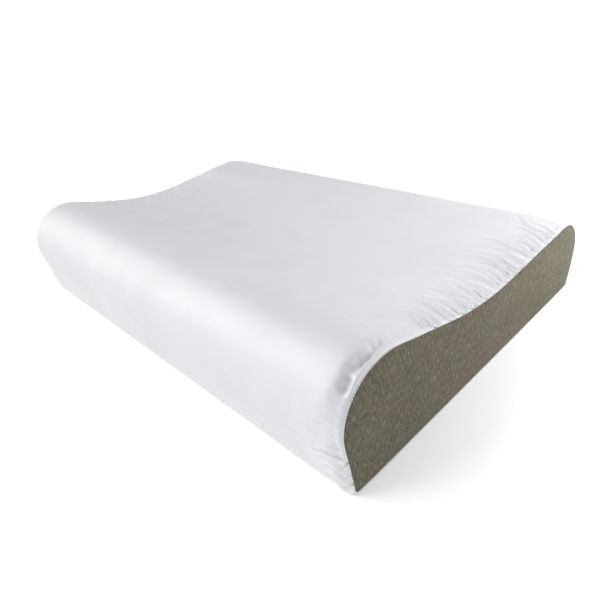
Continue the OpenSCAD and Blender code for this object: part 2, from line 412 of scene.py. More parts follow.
def gather_list(side, sizes):
    """The gathers where the top is eased on to one end panel: place, height, length, width and lean."""
    rng = np.random.default_rng(SEED + (1 if side > 0 else 2))
    end = ZIP_S - 12 * MM
    s = 3 * MM
    found = []
    while s < end:
        hollow = hollow_share(s, starts=0.035, full=0.075, ends=0.035)
        heel = 1 - ease(s, 0.05, 0.07)
        back = bump(s, BACK_CREST_S, 0.03)
        pull = 0.08 + 0.92 * hollow * (1 - 0.5 * back) + 1.8 * heel + 0.2 * back
        pull *= rng.uniform(0.3, 1.2) * (1 if side > 0 else LEFT_GATHERS)
        length = (7 + 8 * heel + 15 * hollow * rng.uniform(0.25, 1.4) + 4 * rng.uniform(0, 1)) * MM
        if hollow > 0.6 and rng.uniform() < 0.3:
            length *= 1.7
        width = sizes.gather_spacing * rng.uniform(0.13, 0.27)
        lean = rng.normal(0.02 + 0.36 * ease(s, HOLLOW_S - 0.05, BACK_CREST_S - 0.03), 0.12)
        found.append((s, sizes.gather_height * pull, length, width, lean))
        s += sizes.gather_spacing * rng.uniform(0.62, 1.35) * (1.25 - 0.35 * hollow)
    return found


def gather_height(s, t, gathers):
    """How far the gathers lift the cloth at s along the outline and t from the end."""
    total = np.zeros(np.broadcast(s, t).shape)
    for place, height, length, width, lean in gathers:
        start = 0.5 + 0.5 * ease(t, 0.6 * MM, 1.8 * MM)
        fade = np.exp(-(np.maximum(t - 2 * MM, 0) / length) ** 1.6)
        spread = width * (1 + 0.55 * np.minimum(t / length, 1.5))
        q = (s - place - lean * t - 0.12 * t * np.sin(t / length * 2.1)) / spread
        ridge = np.exp(-q ** 2) - 0.62 * bump(q, 1.28, 0.52) - 0.5 * bump(q, -1.28, 0.52)
        total += height * start * fade * ridge
    return total


def settled(block, fullness, held, frames=20):
    """A strip of cloth, as a grid of points, after it has settled by cloth simulation. fullness is the
    extra cloth eased in at each point, as a share, and held is how firmly each point is held."""
    rows, columns = block.shape[:2]
    mesh = make_mesh("strip", block, grid_faces(rows, columns)[:, ::-1])
    strip = bpy.data.objects.new("strip", mesh)
    bpy.context.scene.collection.objects.link(strip)
    most = fullness.max()
    spare = np.round(1 - fullness / most, 2)
    for label, weights in (("held", held), ("spare", spare)):
        levels = strip.vertex_groups.new(name=label)
        for level in np.unique(weights):
            levels.add(np.flatnonzero(weights.ravel() == level).tolist(), float(level), "REPLACE")
    cloth = strip.modifiers.new("settle", "CLOTH")
    cloth.settings.vertex_group_mass = "held"
    cloth.settings.vertex_group_shrink = "spare"
    cloth.settings.shrink_min = -float(most)
    cloth.settings.quality = 5
    cloth.settings.mass = 0.05
    cloth.settings.air_damping = 4
    cloth.settings.tension_stiffness = 12
    cloth.settings.compression_stiffness = 12
    cloth.settings.shear_stiffness = 3
    cloth.settings.bending_stiffness = 0.01
    cloth.settings.effector_weights.gravity = 0
    cloth.collision_settings.use_collision = False
    cloth.collision_settings.use_self_collision = False
    cloth.point_cache.frame_start = 1
    cloth.point_cache.frame_end = frames
    scene = bpy.context.scene
    for frame_number in range(1, frames + 1):
        scene.frame_set(frame_number)
    made = strip.evaluated_get(bpy.context.evaluated_depsgraph_get()).to_mesh()
    places = np.zeros(rows * columns * 3)
    made.vertices.foreach_get("co", places)
    bpy.data.objects.remove(strip)
    scene.frame_set(1)
    return places.reshape(rows, columns, 3)


def settle_ends(s, x, n):
    """Lets the cloth near both ends settle with the fullness that was eased into the end seams, and
    returns how far out each point of the grid then stands."""
    t = HALF_LENGTH - np.abs(x)
    n = n.copy()
    for side in (-1, 1):
        near = np.flatnonzero((x * side > 0) & (t > SETTLE_START) & (t < SETTLE_END))
        near = near[np.argsort(t[near])]
        block_s, block_n, block_t = s[:, near], n[:, near], t[near][None, :]
        block = OUTLINE.place(block_s, block_n, x[near][None, :])
        hollow = hollow_share(block_s, starts=0.02, full=0.07, ends=0.05)
        heel = 1 - ease(block_s, 0.035, 0.065)
        reach = (24 - 11 * heel) * MM
        full = (0.02 + 0.08 * hollow + 0.05 * heel) * np.exp(-(block_t / reach) ** 2)
        full *= 1 if side > 0 else LEFT_FULLNESS
        # held along the end seam, at the open side of the strip, at the front seam and at the zip
        held = np.zeros(block_s.shape)
        held[:, :2] = 1
        held[:, -3:] = 1
        held[:2] = 1
        held[-6:] = 1
        after = settled(block, full, held)
        out = OUTLINE.out(block_s)
        moved = ((after - block)[..., 1:] * out).sum(-1)
        moved = np.clip(moved, -SETTLE_IN, SETTLE_OUT)
        n[:, near] = block_n + moved * (1 - ease(block_t, *SETTLE_FADE))
    return n


def zip_gap(x, window_half):
    """Half the gap between the two panels over the zip. It closes past the ends of the zip's window."""
    closing = ease(np.abs(x), WINDOW_END - 1 * MM, WINDOW_END + 7 * MM)
    return window_half - (window_half - 0.25 * MM) * closing


def turned_hem():
    """The edge turned under at the zip, in millimetres: (on past the edge, out from the cloth)."""
    return spline_through([(0, 0), (0.25, -0.12), (0.42, -0.5), (0.25, -0.9), (-0.3, -1.05), (-3, -1.1),
                           (-8, -1.15)], 12)


def placed_cloth(x, s, n, lowest):
    """A panel's points at s round the outline and n out from it, and the flat layout of its threads."""
    across = np.broadcast_to(x[None, :], s.shape)
    points = OUTLINE.place(s, n, across)
    points[..., 2] = np.maximum(points[..., 2], lowest)
    return points, np.stack([across, s], -1)


def fuller_roll(s, x, t):
    """How much fuller the back roll stands towards the left end. It comes down again into the end seam."""
    height = 5 * MM
    shoulder = BACK_CREST_S - 0.046
    fuller = bump(s, shoulder, 0.024) * bump(x, -HALF_LENGTH, 0.15)
    return height * fuller * ease(t, 1 * MM, 16 * MM)


def front_tuck(s, t):
    """How deep the cloth sags into the soft tuck where the end seam turns over the front roll. The tuck
    runs along a wandering line, with a low ridge between it and the seam."""
    turning = ease(s, CREST_S - 0.052, CREST_S - 0.042) * (1 - ease(s, CREST_S - 0.025, CREST_S + 0.05))
    line = 7.4 * MM + 1.2 * MM * np.sin(s / (6 * MM)) + 0.5 * MM * np.sin(s / (2.1 * MM))
    tuck = bump(t, line, 3.0 * MM) * 3.1 * MM - bump(t, 3.0 * MM, 1.7 * MM) * 0.9 * MM
    return turning * tuck * (1 + 0.22 * np.sin(s / (3.4 * MM)) + 0.15 * np.sin(s / (1.3 * MM)))


def build_top_points(sizes):
    """The top panel as a grid of points, from the front seam over both rolls to the zip."""
    x, share, extra = end_stations(edge_count=26, near=60 * MM, near_step=1.6 * MM, far_step=8 * MM)
    row_step = 1.25 * MM
    s_line = np.linspace(0, 1, int((ZIP_S - sizes.window_half) / row_step))
    hem = turned_hem()
    edge_s = ZIP_S - zip_gap(x, sizes.window_half)
    s = s_line[:, None] * edge_s[None, :]
    t = HALF_LENGTH - np.abs(x)[None, :]
    inset = seam_inset(s)
    n = -(share[None, :] * inset + extra[None, :])
    n = n + fuller_roll(s, x[None, :], t)
    n = n - front_tuck(s, t)
    # most of each gather is laid in here, and the cloth settles round it afterwards
    share_drawn = 0.85
    for side in (-1, 1):
        reach = (x[None, :] * side > HALF_LENGTH - GATHERS_REACH)
        lift = gather_height(s, t, gather_list(side, sizes))
        n = n + np.where(reach, lift * share_drawn, 0)
    n = settle_ends(s, x, n)
    rng = np.random.default_rng(SEED)
    quiet = ease(t, 2 * MM, 30 * MM)
    n = n + slow_waves(x[None, :], s, rng, 9, 0.11, 0.22 * MM) * quiet
    n = n + slow_waves(x[None, :] * 0.25, s, rng, 7, 0.016, 0.05 * MM) * quiet
    # the front seam draws the cloth in along its own line
    front = np.exp(-(s / (1.2 * MM)) ** 2) * 1.5 * MM - bump(s, 2.6 * MM, 1.3 * MM) * 0.35 * MM
    n = n - front * ease(t, 2 * MM, 8 * MM)
    # the cloth lies flat in a pressed edge at the zip
    pressed = ease(ZIP_S - s, 6 * MM, 22 * MM)
    n = np.where(s > CREST_S, n * (0.25 + 0.75 * pressed), n)
    under = edge_s[None, :] + hem[:, 0:1] * MM
    under_n = n[-1][None, :] + hem[:, 1:2] * MM
    s_all = np.vstack([s, under[1:]])
    n_all = np.vstack([n, under_n[1:]])
    return placed_cloth(x, s_all, n_all, lowest=0.15 * MM)


def build_base_points(sizes):
    """The base panel as a grid of points, from the zip round under the pillow to the front seam."""
    x, share, extra = end_stations(edge_count=22, near=40 * MM, near_step=3 * MM, far_step=8 * MM)
    edge_s = ZIP_S + zip_gap(x, sizes.window_half)
    # closer rows where the cloth turns, at the zip and at the front
    line = np.concatenate([np.linspace(0, 0.075, 26), np.linspace(0.085, 0.95, 110),
                           np.linspace(0.956, 1, 26)])
    s = edge_s[None, :] + line[:, None] * (OUTLINE.total - edge_s[None, :])
    t = HALF_LENGTH - np.abs(x)[None, :]
    n = -(share[None, :] * seam_inset(s) + extra[None, :])
    rest = OUTLINE.total - s
    front = np.exp(-(rest / (1.2 * MM)) ** 2) * 1.5 * MM
    n = n - front * ease(t, 2 * MM, 8 * MM)
    hem = turned_hem()
    under = edge_s[None, :] - hem[::-1, 0:1] * MM
    under_n = n[0][None, :] + hem[::-1, 1:2] * MM
    s_all = np.vstack([under[:-1], s])
    n_all = np.vstack([under_n[:-1], n])
    return placed_cloth(x, s_all, n_all, lowest=0.0)


def filled_end(loop, spacing, margin):
    """A flat fill of a closed (y, z) loop: the loop's own points, then a grid inside it, and triangles."""
    low, high = loop.min(0), loop.max(0)
    ys = np.arange(low[0], high[0], spacing)
    zs = np.arange(low[1], high[1], spacing * 0.87)
    inside = []
    for i, z in enumerate(zs):
        row = np.column_stack([ys + (spacing / 2 if i % 2 else 0), np.full(len(ys), z)])
        inside.append(row)
    inside = np.vstack(inside)
    inside = inside[points_inside(inside, loop)]
    gaps = np.sqrt(((inside[:, None, :] - loop[None, :, :]) ** 2).sum(-1)).min(1)
    inside = inside[gaps > margin]
    count = len(loop)
    everything = [Vector(p) for p in np.vstack([loop, inside])]
    edges = [(i, (i + 1) % count) for i in range(count)]
    made = delaunay_2d_cdt(everything, edges, [list(range(count))], 1, 1e-7)
    places = np.array([tuple(v) for v in made[0]])
    of_loop = [next((i for i in given if i < count), None) for given in made[3]]
    return places, made[2], of_loop


def joined_fill(start, first, places, of_loop):
    """Point numbers of a filled end, and its new points. The loop's own points are there already,
    numbered on from first, and the new ones are numbered on from start."""
    index, extra = [], []
    for place, shared in zip(places, of_loop):
        if shared is not None:
            index.append(first + shared)
        else:
            index.append(start + len(extra))
            extra.append(place)
    return index, np.array(extra)


def points_inside(points, loop):
    """Which points lie inside a closed loop."""
    y, z = points[:, 0], points[:, 1]
    inside = np.zeros(len(points), bool)
    y0, z0 = loop[-1]
    for y1, z1 in loop:
        crosses = (z0 > z) != (z1 > z)
        with np.errstate(divide="ignore", invalid="ignore"):
            at = (y1 - y0) * (z - z0) / (z1 - z0) + y0
        inside ^= crosses & (y < at)
        y0, z0 = y1, z1
    return inside


def end_face_mesh(name, side):
    """A knitted end panel: its turned-in allowance, the soft roll into the seam, and the stretched face."""
    count = int(OUTLINE.total / (1.8 * MM))
    s = np.arange(count) * OUTLINE.total / count
    rng = np.random.default_rng(SEED + 11 + side)
    inset = seam_inset(s)
    # (distance inside the seam, distance in from the end plane), in millimetres
    roll = spline_through([(2.4, 4.2), (1.0, 3.0), (0.15, 2.0), (0.0, 1.25), (0.45, 0.62), (1.3, 0.22),
                           (2.6, -0.08), (4.4, -0.3)], 17)
    pulls = slow_waves(s, 0 * s, rng, 8, 0.014, 0.16 * MM)
    rings = []
    for inward, back in roll:
        x = HALF_LENGTH - back * MM
        wave = pulls * ease(inward, 0, 2.0) * (1 - ease(inward, 3, 9)) * (back < 1.2)
        rings.append(OUTLINE.place(s, -(inset + inward * MM), x + wave))
    points = np.concatenate(rings)
    faces = []
    for k in range(len(rings) - 1):
        for i in range(count):
            j = (i + 1) % count
            faces.append((k * count + j, k * count + i, (k + 1) * count + i, (k + 1) * count + j))
    loop = rings[-1][:, 1:]
    flat, tris, of_loop = filled_end(loop, 3.2 * MM, 2.0 * MM)
    gaps = np.sqrt(((flat[:, None, :] - loop[None, ::2, :]) ** 2).sum(-1)).min(1)
    edge_x = HALF_LENGTH + 0.3 * MM
    dome = 0.55 * MM * (1 - np.exp(-gaps / (9 * MM)))
    dome = dome + slow_waves(flat[:, 0], flat[:, 1], rng, 7, 0.09, 0.16 * MM) * ease(gaps, 0, 0.015)
    base = (len(rings) - 1) * count
    face = np.column_stack([edge_x + dome, flat])
    index, extra = joined_fill(len(points), base, face, of_loop)
    points = np.vstack([points, extra])
    faces += [tuple(index[i] for i in f) for f in tris]
    points[:, 0] *= side
    points[:, 2] = np.maximum(points[:, 2], 0.1 * MM)
    uv = points[:, 1:3]
    if side < 0:
        faces = [f[::-1] for f in faces]
    return make_mesh(name, points, faces, uv)


# ---------------------------------------------------------------- stitches

def stitch_mesh(name, centres, along, up, length, thick, arch=0.25, lean=0.0, sides=6):
    """Separate stitches of thread, each a rounded arched bar that dips into the cloth at its ends."""
    centres, along, up = (np.asarray(v, float) for v in (centres, along, up))
    along = along / np.linalg.norm(along, axis=1, keepdims=True)
    across = np.cross(up, along)
    across /= np.linalg.norm(across, axis=1, keepdims=True)
    up = np.cross(along, across)
    if lean:
        along, across = (along * math.cos(lean) + across * math.sin(lean),
                         across * math.cos(lean) - along * math.sin(lean))
    shape = np.array([(-0.5, 0.35, -0.9), (-0.44, 0.75, -0.45), (-0.25, 0.98, 0.1), (0, 1.0, 0.3),
                      (0.25, 0.98, 0.1), (0.44, 0.75, -0.45), (0.5, 0.35, -0.9)])
    angle = np.arange(sides) * 2 * math.pi / sides
    points, uv = [], []
    for place, width, lift in shape:
        middle = centres + along * (place * length) + up * (lift * arch * thick)
        for a in angle:
            points.append(middle + (across * math.cos(a) + up * math.sin(a)) * (width * thick / 2))
            uv.append(np.column_stack([np.full(len(centres), place * length + length / 2),
                                       np.full(len(centres), a / (2 * math.pi))]))
    points = np.stack(points, 1)
    uv = np.stack(uv, 1)
    per = len(shape) * sides
    faces = []
    for k in range(len(shape) - 1):
        for i in range(sides):
            j = (i + 1) % sides
            faces.append((k * sides + i, (k + 1) * sides + i, (k + 1) * sides + j, k * sides + j))
    caps = [tuple(range(sides)), tuple(range(per - 1, per - sides - 1, -1))]
    starts = np.arange(len(centres)) * per
    quads = (np.array(faces)[None] + starts[:, None, None]).reshape(-1, 4).tolist()
    ends = [tuple(c + o for c in cap) for o in starts for cap in caps]
    return make_mesh(name, points.reshape(-1, 3), quads + ends, uv.reshape(-1, 2))


def add_straight_seam(name, node, centres, out, sizes):
    """A row of stitches along the pillow's length that faces out, given as (y, z)."""
    along = np.tile([1.0, 0, 0], (len(centres), 1))
    out = np.tile(np.append(0, out), (len(centres), 1))
    mesh = stitch_mesh(name, centres, along, out, sizes.stitch_length, sizes.thread_width)
    add_piece(name, mesh, finish("thread"), [node])


def spaced_along(length, pitch):
    """The middles of the stitches that fit in a length at about that pitch."""
    count = max(2, int(length / pitch))
    return (np.arange(count) + 0.5) * length / count


def tube_mesh(name, paths, radius, sides=6):
    """Round filaments along paths, each an array of points, closed at both ends."""
    points, faces, uv = [], [], []
    base = 0
    angle = np.arange(sides) * 2 * math.pi / sides
    for path in paths:
        path = np.asarray(path, float)
        tangent = np.gradient(path, axis=0)
        tangent /= np.linalg.norm(tangent, axis=1, keepdims=True)
        side = np.cross(tangent, (1, 0, 0.02))
        side /= np.linalg.norm(side, axis=1, keepdims=True)
        other = np.cross(tangent, side)
        ring = path[:, None] + radius * (side[:, None] * np.cos(angle)[None, :, None]
                                         + other[:, None] * np.sin(angle)[None, :, None])
        points.append(ring.reshape(-1, 3))
        lengths = np.concatenate([[0], np.cumsum(np.linalg.norm(np.diff(path, axis=0), axis=1))])
        uv.append(np.stack(np.meshgrid(lengths, angle / (2 * math.pi), indexing="ij"), -1).reshape(-1, 2))
        k, i = np.meshgrid(np.arange(len(path) - 1), np.arange(sides), indexing="ij")
        j = (i + 1) % sides
        quads = np.stack([k * sides + i, (k + 1) * sides + i, (k + 1) * sides + j, k * sides + j], -1)
        faces += (quads.reshape(-1, 4) + base).tolist()
        faces.append([base + v for v in range(sides)])
        faces.append([base + len(path) * sides - 1 - v for v in range(sides)])
        base += len(path) * sides
    return make_mesh(name, np.concatenate(points), faces, np.concatenate(uv))


def flank_point(x, up, out):
    """A point on the back face: x along the pillow, up from the zip's middle, out from the outline."""
    x, up, out = np.broadcast_arrays(np.asarray(x, float), np.asarray(up, float), np.asarray(out, float))
    y = ZIP_AT[0] + ZIP_UP[0] * up + ZIP_OUT[0] * out
    z = ZIP_AT[1] + ZIP_UP[1] * up + ZIP_OUT[1] * out
    return np.stack([x, y, z], -1)


# ---------------------------------------------------------------- materials

class Sockets:
    """Small helper that adds and joins nodes of one material or group."""

    def __init__(self, tree):
        self.tree = tree

    def node(self, kind, *inputs, **options):
        made = self.tree.nodes.new(kind)
        for key, value in options.items():
            setattr(made, key, value)
        for i, value in enumerate(inputs):
            self.put(made.inputs[i], value)
        return made

    def put(self, socket, value):
        if value is None:
            return
        if isinstance(value, bpy.types.NodeSocket):
            self.tree.links.new(value, socket)
        else:
            socket.default_value = value

    def math(self, operation, *inputs, clamp=False):
        return self.node("ShaderNodeMath", *inputs, operation=operation, use_clamp=clamp).outputs[0]

    def noise(self, vector, scale, detail=2.0, roughness=0.5):
        made = self.node("ShaderNodeTexNoise")
        self.put(made.inputs["Vector"], vector)
        self.put(made.inputs["Scale"], scale)
        self.put(made.inputs["Detail"], detail)
        self.put(made.inputs["Roughness"], roughness)
        return made.outputs["Fac"]

    def stretch(self, vector, scale):
        made = self.node("ShaderNodeVectorMath", vector, scale, operation="MULTIPLY")
        return made.outputs[0]

    def ramp(self, value, low, high, to_low=0.0, to_high=1.0):
        made = self.node("ShaderNodeMapRange", value, low, high, to_low, to_high)
        made.interpolation_type = "SMOOTHSTEP"
        return made.outputs[0]

    def mix(self, share, first, second, blend="MIX"):
        made = self.node("ShaderNodeMix", data_type="RGBA", blend_type=blend)
        self.put(made.inputs[0], share)
        self.put(made.inputs[6], first)
        self.put(made.inputs[7], second)
        return made.outputs[2]

    def joined(self, x, y, z=0.0):
        return self.node("ShaderNodeCombineXYZ", x, y, z).outputs[0]

    def parts(self, vector):
        return self.node("ShaderNodeSeparateXYZ", vector).outputs


def new_group(name, inputs, outputs):
    """A shader node group with named sockets, and a helper and its two ends to fill it with."""
    tree = bpy.data.node_groups.new(name, "ShaderNodeTree")
    for label, kind, value in inputs:
        socket = tree.interface.new_socket(label, in_out="INPUT", socket_type="NodeSocket" + kind)
        if value is not None:
            socket.default_value = value
    for label, kind in outputs:
        tree.interface.new_socket(label, in_out="OUTPUT", socket_type="NodeSocket" + kind)
    start = tree.nodes.new("NodeGroupInput")
    end = tree.nodes.new("NodeGroupOutput")
    return tree, Sockets(tree), start.outputs, end.inputs


def weave_group():
    """Warp and weft threads crossing. Step and Repeat set the weave: 1 and 2 plain, 1 and 4 twill,
    2 and 5 sateen."""
    tree, t, given, out = new_group(
        "Woven Threads",
        [("Cloth Place", "Vector", None), ("Thread Pitch", "Float", 0.0005), ("Step", "Float", 2.0),
         ("Repeat", "Float", 5.0)],
        [("Height", "Float"), ("Gap", "Float")])
    x, y, _ = t.parts(given["Cloth Place"])
    a = t.math("DIVIDE", x, given["Thread Pitch"])
    b = t.math("DIVIDE", y, given["Thread Pitch"])
    wa = t.math("ABSOLUTE", t.math("SINE", t.math("MULTIPLY", a, math.pi)))
    wb = t.math("ABSOLUTE", t.math("SINE", t.math("MULTIPLY", b, math.pi)))
    row = t.math("MULTIPLY", t.math("FLOOR", b), given["Step"])
    cell = t.math("ADD", t.math("FLOOR", a), row)
    turn = t.math("FLOORED_MODULO", cell, given["Repeat"])
    over = t.math("LESS_THAN", turn, 0.5)
    warp = t.math("MULTIPLY", t.math("SUBTRACT", 1.0, over), wa)
    weft = t.math("MULTIPLY", over, wb)
    height = t.math("ADD", warp, weft)
    t.put(out["Height"], height)
    # where the threads part: the mask by which the materials paint shade between the threads
    t.put(out["Gap"], t.math("SUBTRACT", 1.0, t.ramp(height, 0.05, 0.4)))
    return tree


def knit_group():
    """Columns of interlocked loops, as in a plain knitted jersey."""
    tree, t, given, out = new_group(
        "Knitted Loops",
        [("Cloth Place", "Vector", None), ("Wale", "Float", 0.001), ("Course", "Float", 0.0008)],
        [("Height", "Float"), ("Gap", "Float")])
    x, y, _ = t.parts(given["Cloth Place"])
    a = t.math("DIVIDE", x, given["Wale"])
    f = t.math("ABSOLUTE", t.math("SUBTRACT", t.math("FRACT", a), 0.5))
    leg = t.math("ABSOLUTE", t.math("SUBTRACT", f, 0.25))
    leg = t.math("SUBTRACT", 1.0, t.math("POWER", t.math("MULTIPLY", leg, 4.0), 2.0))
    b = t.math("DIVIDE", y, given["Course"])
    slope = t.math("ADD", b, t.math("MULTIPLY", f, 1.7))
    across = t.math("ABSOLUTE", t.math("SINE", t.math("MULTIPLY", slope, math.pi)))
    height = t.math("MULTIPLY", leg, t.math("ADD", 0.35, t.math("MULTIPLY", across, 0.65)))
    t.put(out["Height"], height)
    # between the loops: the mask by which the materials paint shade between the loops
    t.put(out["Gap"], t.math("SUBTRACT", 1.0, t.ramp(height, 0.1, 0.55)))
    return tree


def melange_group():
    """Yarn of mixed fibres: long upright streaks of lighter and darker fibre over a base colour."""
    tree, t, given, out = new_group(
        "Mixed Fibre Yarn",
        [("Cloth Place", "Vector", None), ("Base", "Color", (0.5, 0.5, 0.5, 1)),
         ("Light", "Color", (0.7, 0.7, 0.7, 1)), ("Dark", "Color", (0.2, 0.2, 0.2, 1)),
         ("Tint", "Color", (0.5, 0.45, 0.4, 1)), ("Streak Width", "Float", 0.0014),
         ("Streak Length", "Float", 0.007), ("Contrast", "Float", 1.0)],
        [("Color", "Color"), ("Fibre", "Float")])
    x, y, _ = t.parts(given["Cloth Place"])
    sway = t.noise(t.stretch(given["Cloth Place"], (260.0, 90.0, 1.0)), 1.0, 1.0)
    x = t.math("ADD", x, t.math("MULTIPLY", t.math("SUBTRACT", sway, 0.5), 0.0016))
    u = t.math("DIVIDE", x, given["Streak Width"])
    v = t.math("DIVIDE", y, given["Streak Length"])
    wide = t.noise(t.joined(u, v), 1.0, 1.0, 0.5)
    fine = t.noise(t.joined(t.math("MULTIPLY", u, 1.5), t.math("MULTIPLY", v, 1.6), 7.0), 1.0, 1.0, 0.5)
    broad = t.noise(t.joined(t.math("MULTIPLY", u, 0.11), t.math("MULTIPLY", v, 0.3), 3.0), 1.0, 2.0, 0.5)
    colour = t.mix(t.ramp(broad, 0.4, 0.62), given["Base"], given["Tint"])
    light = t.math("MULTIPLY", t.ramp(wide, 0.5, 0.68), given["Contrast"], clamp=True)
    colour = t.mix(light, colour, given["Light"])
    dark = t.math("MULTIPLY", t.ramp(fine, 0.5, 0.32), given["Contrast"], clamp=True)
    colour = t.mix(dark, colour, given["Dark"])
    t.put(out["Color"], colour)
    t.put(out["Fibre"], t.math("MULTIPLY", t.math("ADD", wide, fine), 0.5))
    return tree


def nap_group():
    """The faint fuzz and handling marks of a cloth surface."""
    tree, t, given, out = new_group(
        "Soft Nap",
        [("Place", "Vector", None), ("Fuzz Size", "Float", 0.0007), ("Patch Size", "Float", 0.05)],
        [("Height", "Float"), ("Patch", "Float")])
    fuzz = t.noise(given["Place"], t.math("DIVIDE", 1.0, given["Fuzz Size"]), 2.0, 0.6)
    patch = t.noise(given["Place"], t.math("DIVIDE", 1.0, given["Patch Size"]), 3.0, 0.5)
    t.put(out["Height"], fuzz)
    t.put(out["Patch"], patch)
    return tree


def ply_group():
    """The twist of plied thread: slanting strands round a thread's length."""
    tree, t, given, out = new_group(
        "Plied Twist",
        [("Thread Place", "Vector", None), ("Twist Pitch", "Float", 0.0008), ("Plies", "Float", 3.0)],
        [("Height", "Float"), ("Groove Shade", "Float")])
    x, y, _ = t.parts(given["Thread Place"])
    turn = t.math("DIVIDE", x, given["Twist Pitch"])
    turn = t.math("ADD", turn, t.math("MULTIPLY", y, given["Plies"]))
    height = t.math("ABSOLUTE", t.math("SINE", t.math("MULTIPLY", turn, math.pi)))
    t.put(out["Height"], height)
    # the grooves between the plies: the mask by which the thread's material paints shade in them
    t.put(out["Groove Shade"], t.math("SUBTRACT", 1.0, t.ramp(height, 0.05, 0.45)))
    return tree


GROUPS = {}


def group(name):
    makers = {"weave": weave_group, "knit": knit_group, "melange": melange_group, "nap": nap_group,
              "ply": ply_group}
    if name not in GROUPS:
        GROUPS[name] = makers[name]()
    return GROUPS[name]


class Finish:
    """One material: its tree, its Principled shader and the places its patterns are laid out by."""

    def __init__(self, name, roughness, **fixed):
        self.material = bpy.data.materials.new(name)
        self.material.use_nodes = True
        tree = self.material.node_tree
        self.t = Sockets(tree)
        self.shader = next(n for n in tree.nodes if n.type == "BSDF_PRINCIPLED")
        self.shader.inputs["Roughness"].default_value = roughness
        for key, value in fixed.items():
            self.shader.inputs[key.replace("_", " ")].default_value = value
        self.cloth = self.t.node("ShaderNodeUVMap", uv_map=UV_NAME).outputs[0]
        self.solid = self.t.node("ShaderNodeTexCoord").outputs["Object"]

    def use(self, name, **inputs):
        """Adds one of the shared groups, with its inputs given by name."""
        made = self.t.node("ShaderNodeGroup", node_tree=group(name))
        for key, value in inputs.items():
            self.t.put(made.inputs[key.replace("_", " ")], value)
        return made.outputs

    def colour(self, value):
        self.t.put(self.shader.inputs["Base Color"], value)

    def rough(self, value):
        self.t.put(self.shader.inputs["Roughness"], value)

    def bumps(self, *layers):
        """Layers of (height, strength, distance), one on another."""
        normal = None
        for height, strength, distance in layers:
            made = self.t.node("ShaderNodeBump")
            made.inputs["Strength"].default_value = strength
            made.inputs["Distance"].default_value = distance
            self.t.put(made.inputs["Height"], height)
            if normal is not None:
                self.t.put(made.inputs["Normal"], normal)
            normal = made.outputs["Normal"]
        self.t.put(self.shader.inputs["Normal"], normal)


FINISHES = {}


def shade(colour, factor):
    return tuple(c * factor for c in colour[:3]) + (1.0,)


def white_cloth(colours):
    f = Finish("white_sateen", 0.42, Sheen_Weight=0.03, Sheen_Roughness=0.35, Specular_IOR_Level=0.95)
    weave = f.use("weave", Cloth_Place=f.cloth, Thread_Pitch=0.00042, Step=2.0, Repeat=5.0)
    nap = f.use("nap", Place=f.solid, Fuzz_Size=0.0009, Patch_Size=0.06)
    base = colours.top_cloth
    colour = f.t.mix(f.t.ramp(nap["Patch"], 0.35, 0.7), shade(base, 1.0), shade(base, 0.965))
    # painted shade between the threads: the cloth 0.72 as bright where they part
    colour = f.t.mix(f.t.math("MULTIPLY", weave["Gap"], 0.22), colour, shade(base, 0.72))
    f.colour(colour)
    f.rough(f.t.ramp(nap["Patch"], 0.3, 0.7, 0.42, 0.5))
    f.bumps((weave["Height"], 0.22, 0.0002), (nap["Height"], 0.12, 0.0005))
    return f.material


def knit_cloth(colours, name="taupe_knit", factor=1.0):
    f = Finish(name, 0.9, Sheen_Weight=0.1, Sheen_Roughness=0.5)
    knit = f.use("knit", Cloth_Place=f.cloth, Wale=0.00105, Course=0.0009)
    nap = f.use("nap", Place=f.solid, Fuzz_Size=0.0006, Patch_Size=0.05)
    yarn = f.use("melange", Cloth_Place=f.cloth, Base=shade(colours.knit_base, factor),
                 Light=shade(colours.knit_light, factor), Dark=shade(colours.knit_dark, factor),
                 Tint=shade(colours.knit_tint, factor), Streak_Width=0.001, Streak_Length=0.0075,
                 Contrast=0.85)
    # painted shade between the loops: the dark fibre colour at 0.6, laid where the loops part
    painted_loop_shade = shade(colours.knit_dark, 0.6 * factor)
    colour = f.t.mix(f.t.math("MULTIPLY", knit["Gap"], 0.35), yarn["Color"], painted_loop_shade)
    f.colour(colour)
    f.rough(f.t.ramp(nap["Patch"], 0.3, 0.7, 0.8, 0.95))
    f.bumps((knit["Height"], 0.5, 0.0003), (yarn["Fibre"], 0.35, 0.0003), (nap["Height"], 0.3, 0.0003))
    return f.material


def sewing_thread(colours):
    f = Finish("sewing_thread", 0.5, Sheen_Weight=0.2)
    ply = f.use("ply", Thread_Place=f.cloth, Twist_Pitch=0.0006, Plies=3.0)
    base = colours.thread
    # painted shade in the grooves of the twist: the thread 0.55 as bright there
    f.colour(f.t.mix(f.t.math("MULTIPLY", ply["Groove Shade"], 0.5), shade(base, 1.0), shade(base, 0.55)))
    f.rough(f.t.ramp(ply["Height"], 0.0, 1.0, 0.6, 0.42))
    f.bumps((ply["Height"], 0.6, 0.00006),)
    return f.material


def zip_tape_cloth(colours):
    f = Finish("zip_tape", 0.7, Sheen_Weight=0.15)
    weave = f.use("weave", Cloth_Place=f.cloth, Thread_Pitch=0.0006, Step=1.0, Repeat=4.0)
    nap = f.use("nap", Place=f.solid, Fuzz_Size=0.0005, Patch_Size=0.03)
    base = colours.zip_tape
    # painted shade between the threads: the tape 0.6 as bright where they part
    colour = f.t.mix(f.t.math("MULTIPLY", weave["Gap"], 0.45), shade(base, 1.0), shade(base, 0.6))
    f.colour(f.t.mix(f.t.ramp(nap["Patch"], 0.3, 0.7, 0, 0.3), colour, shade(base, 0.85)))
    f.rough(f.t.ramp(nap["Patch"], 0.3, 0.7, 0.64, 0.78))
    f.bumps((weave["Height"], 0.5, 0.0002), (nap["Height"], 0.15, 0.0002))
    return f.material


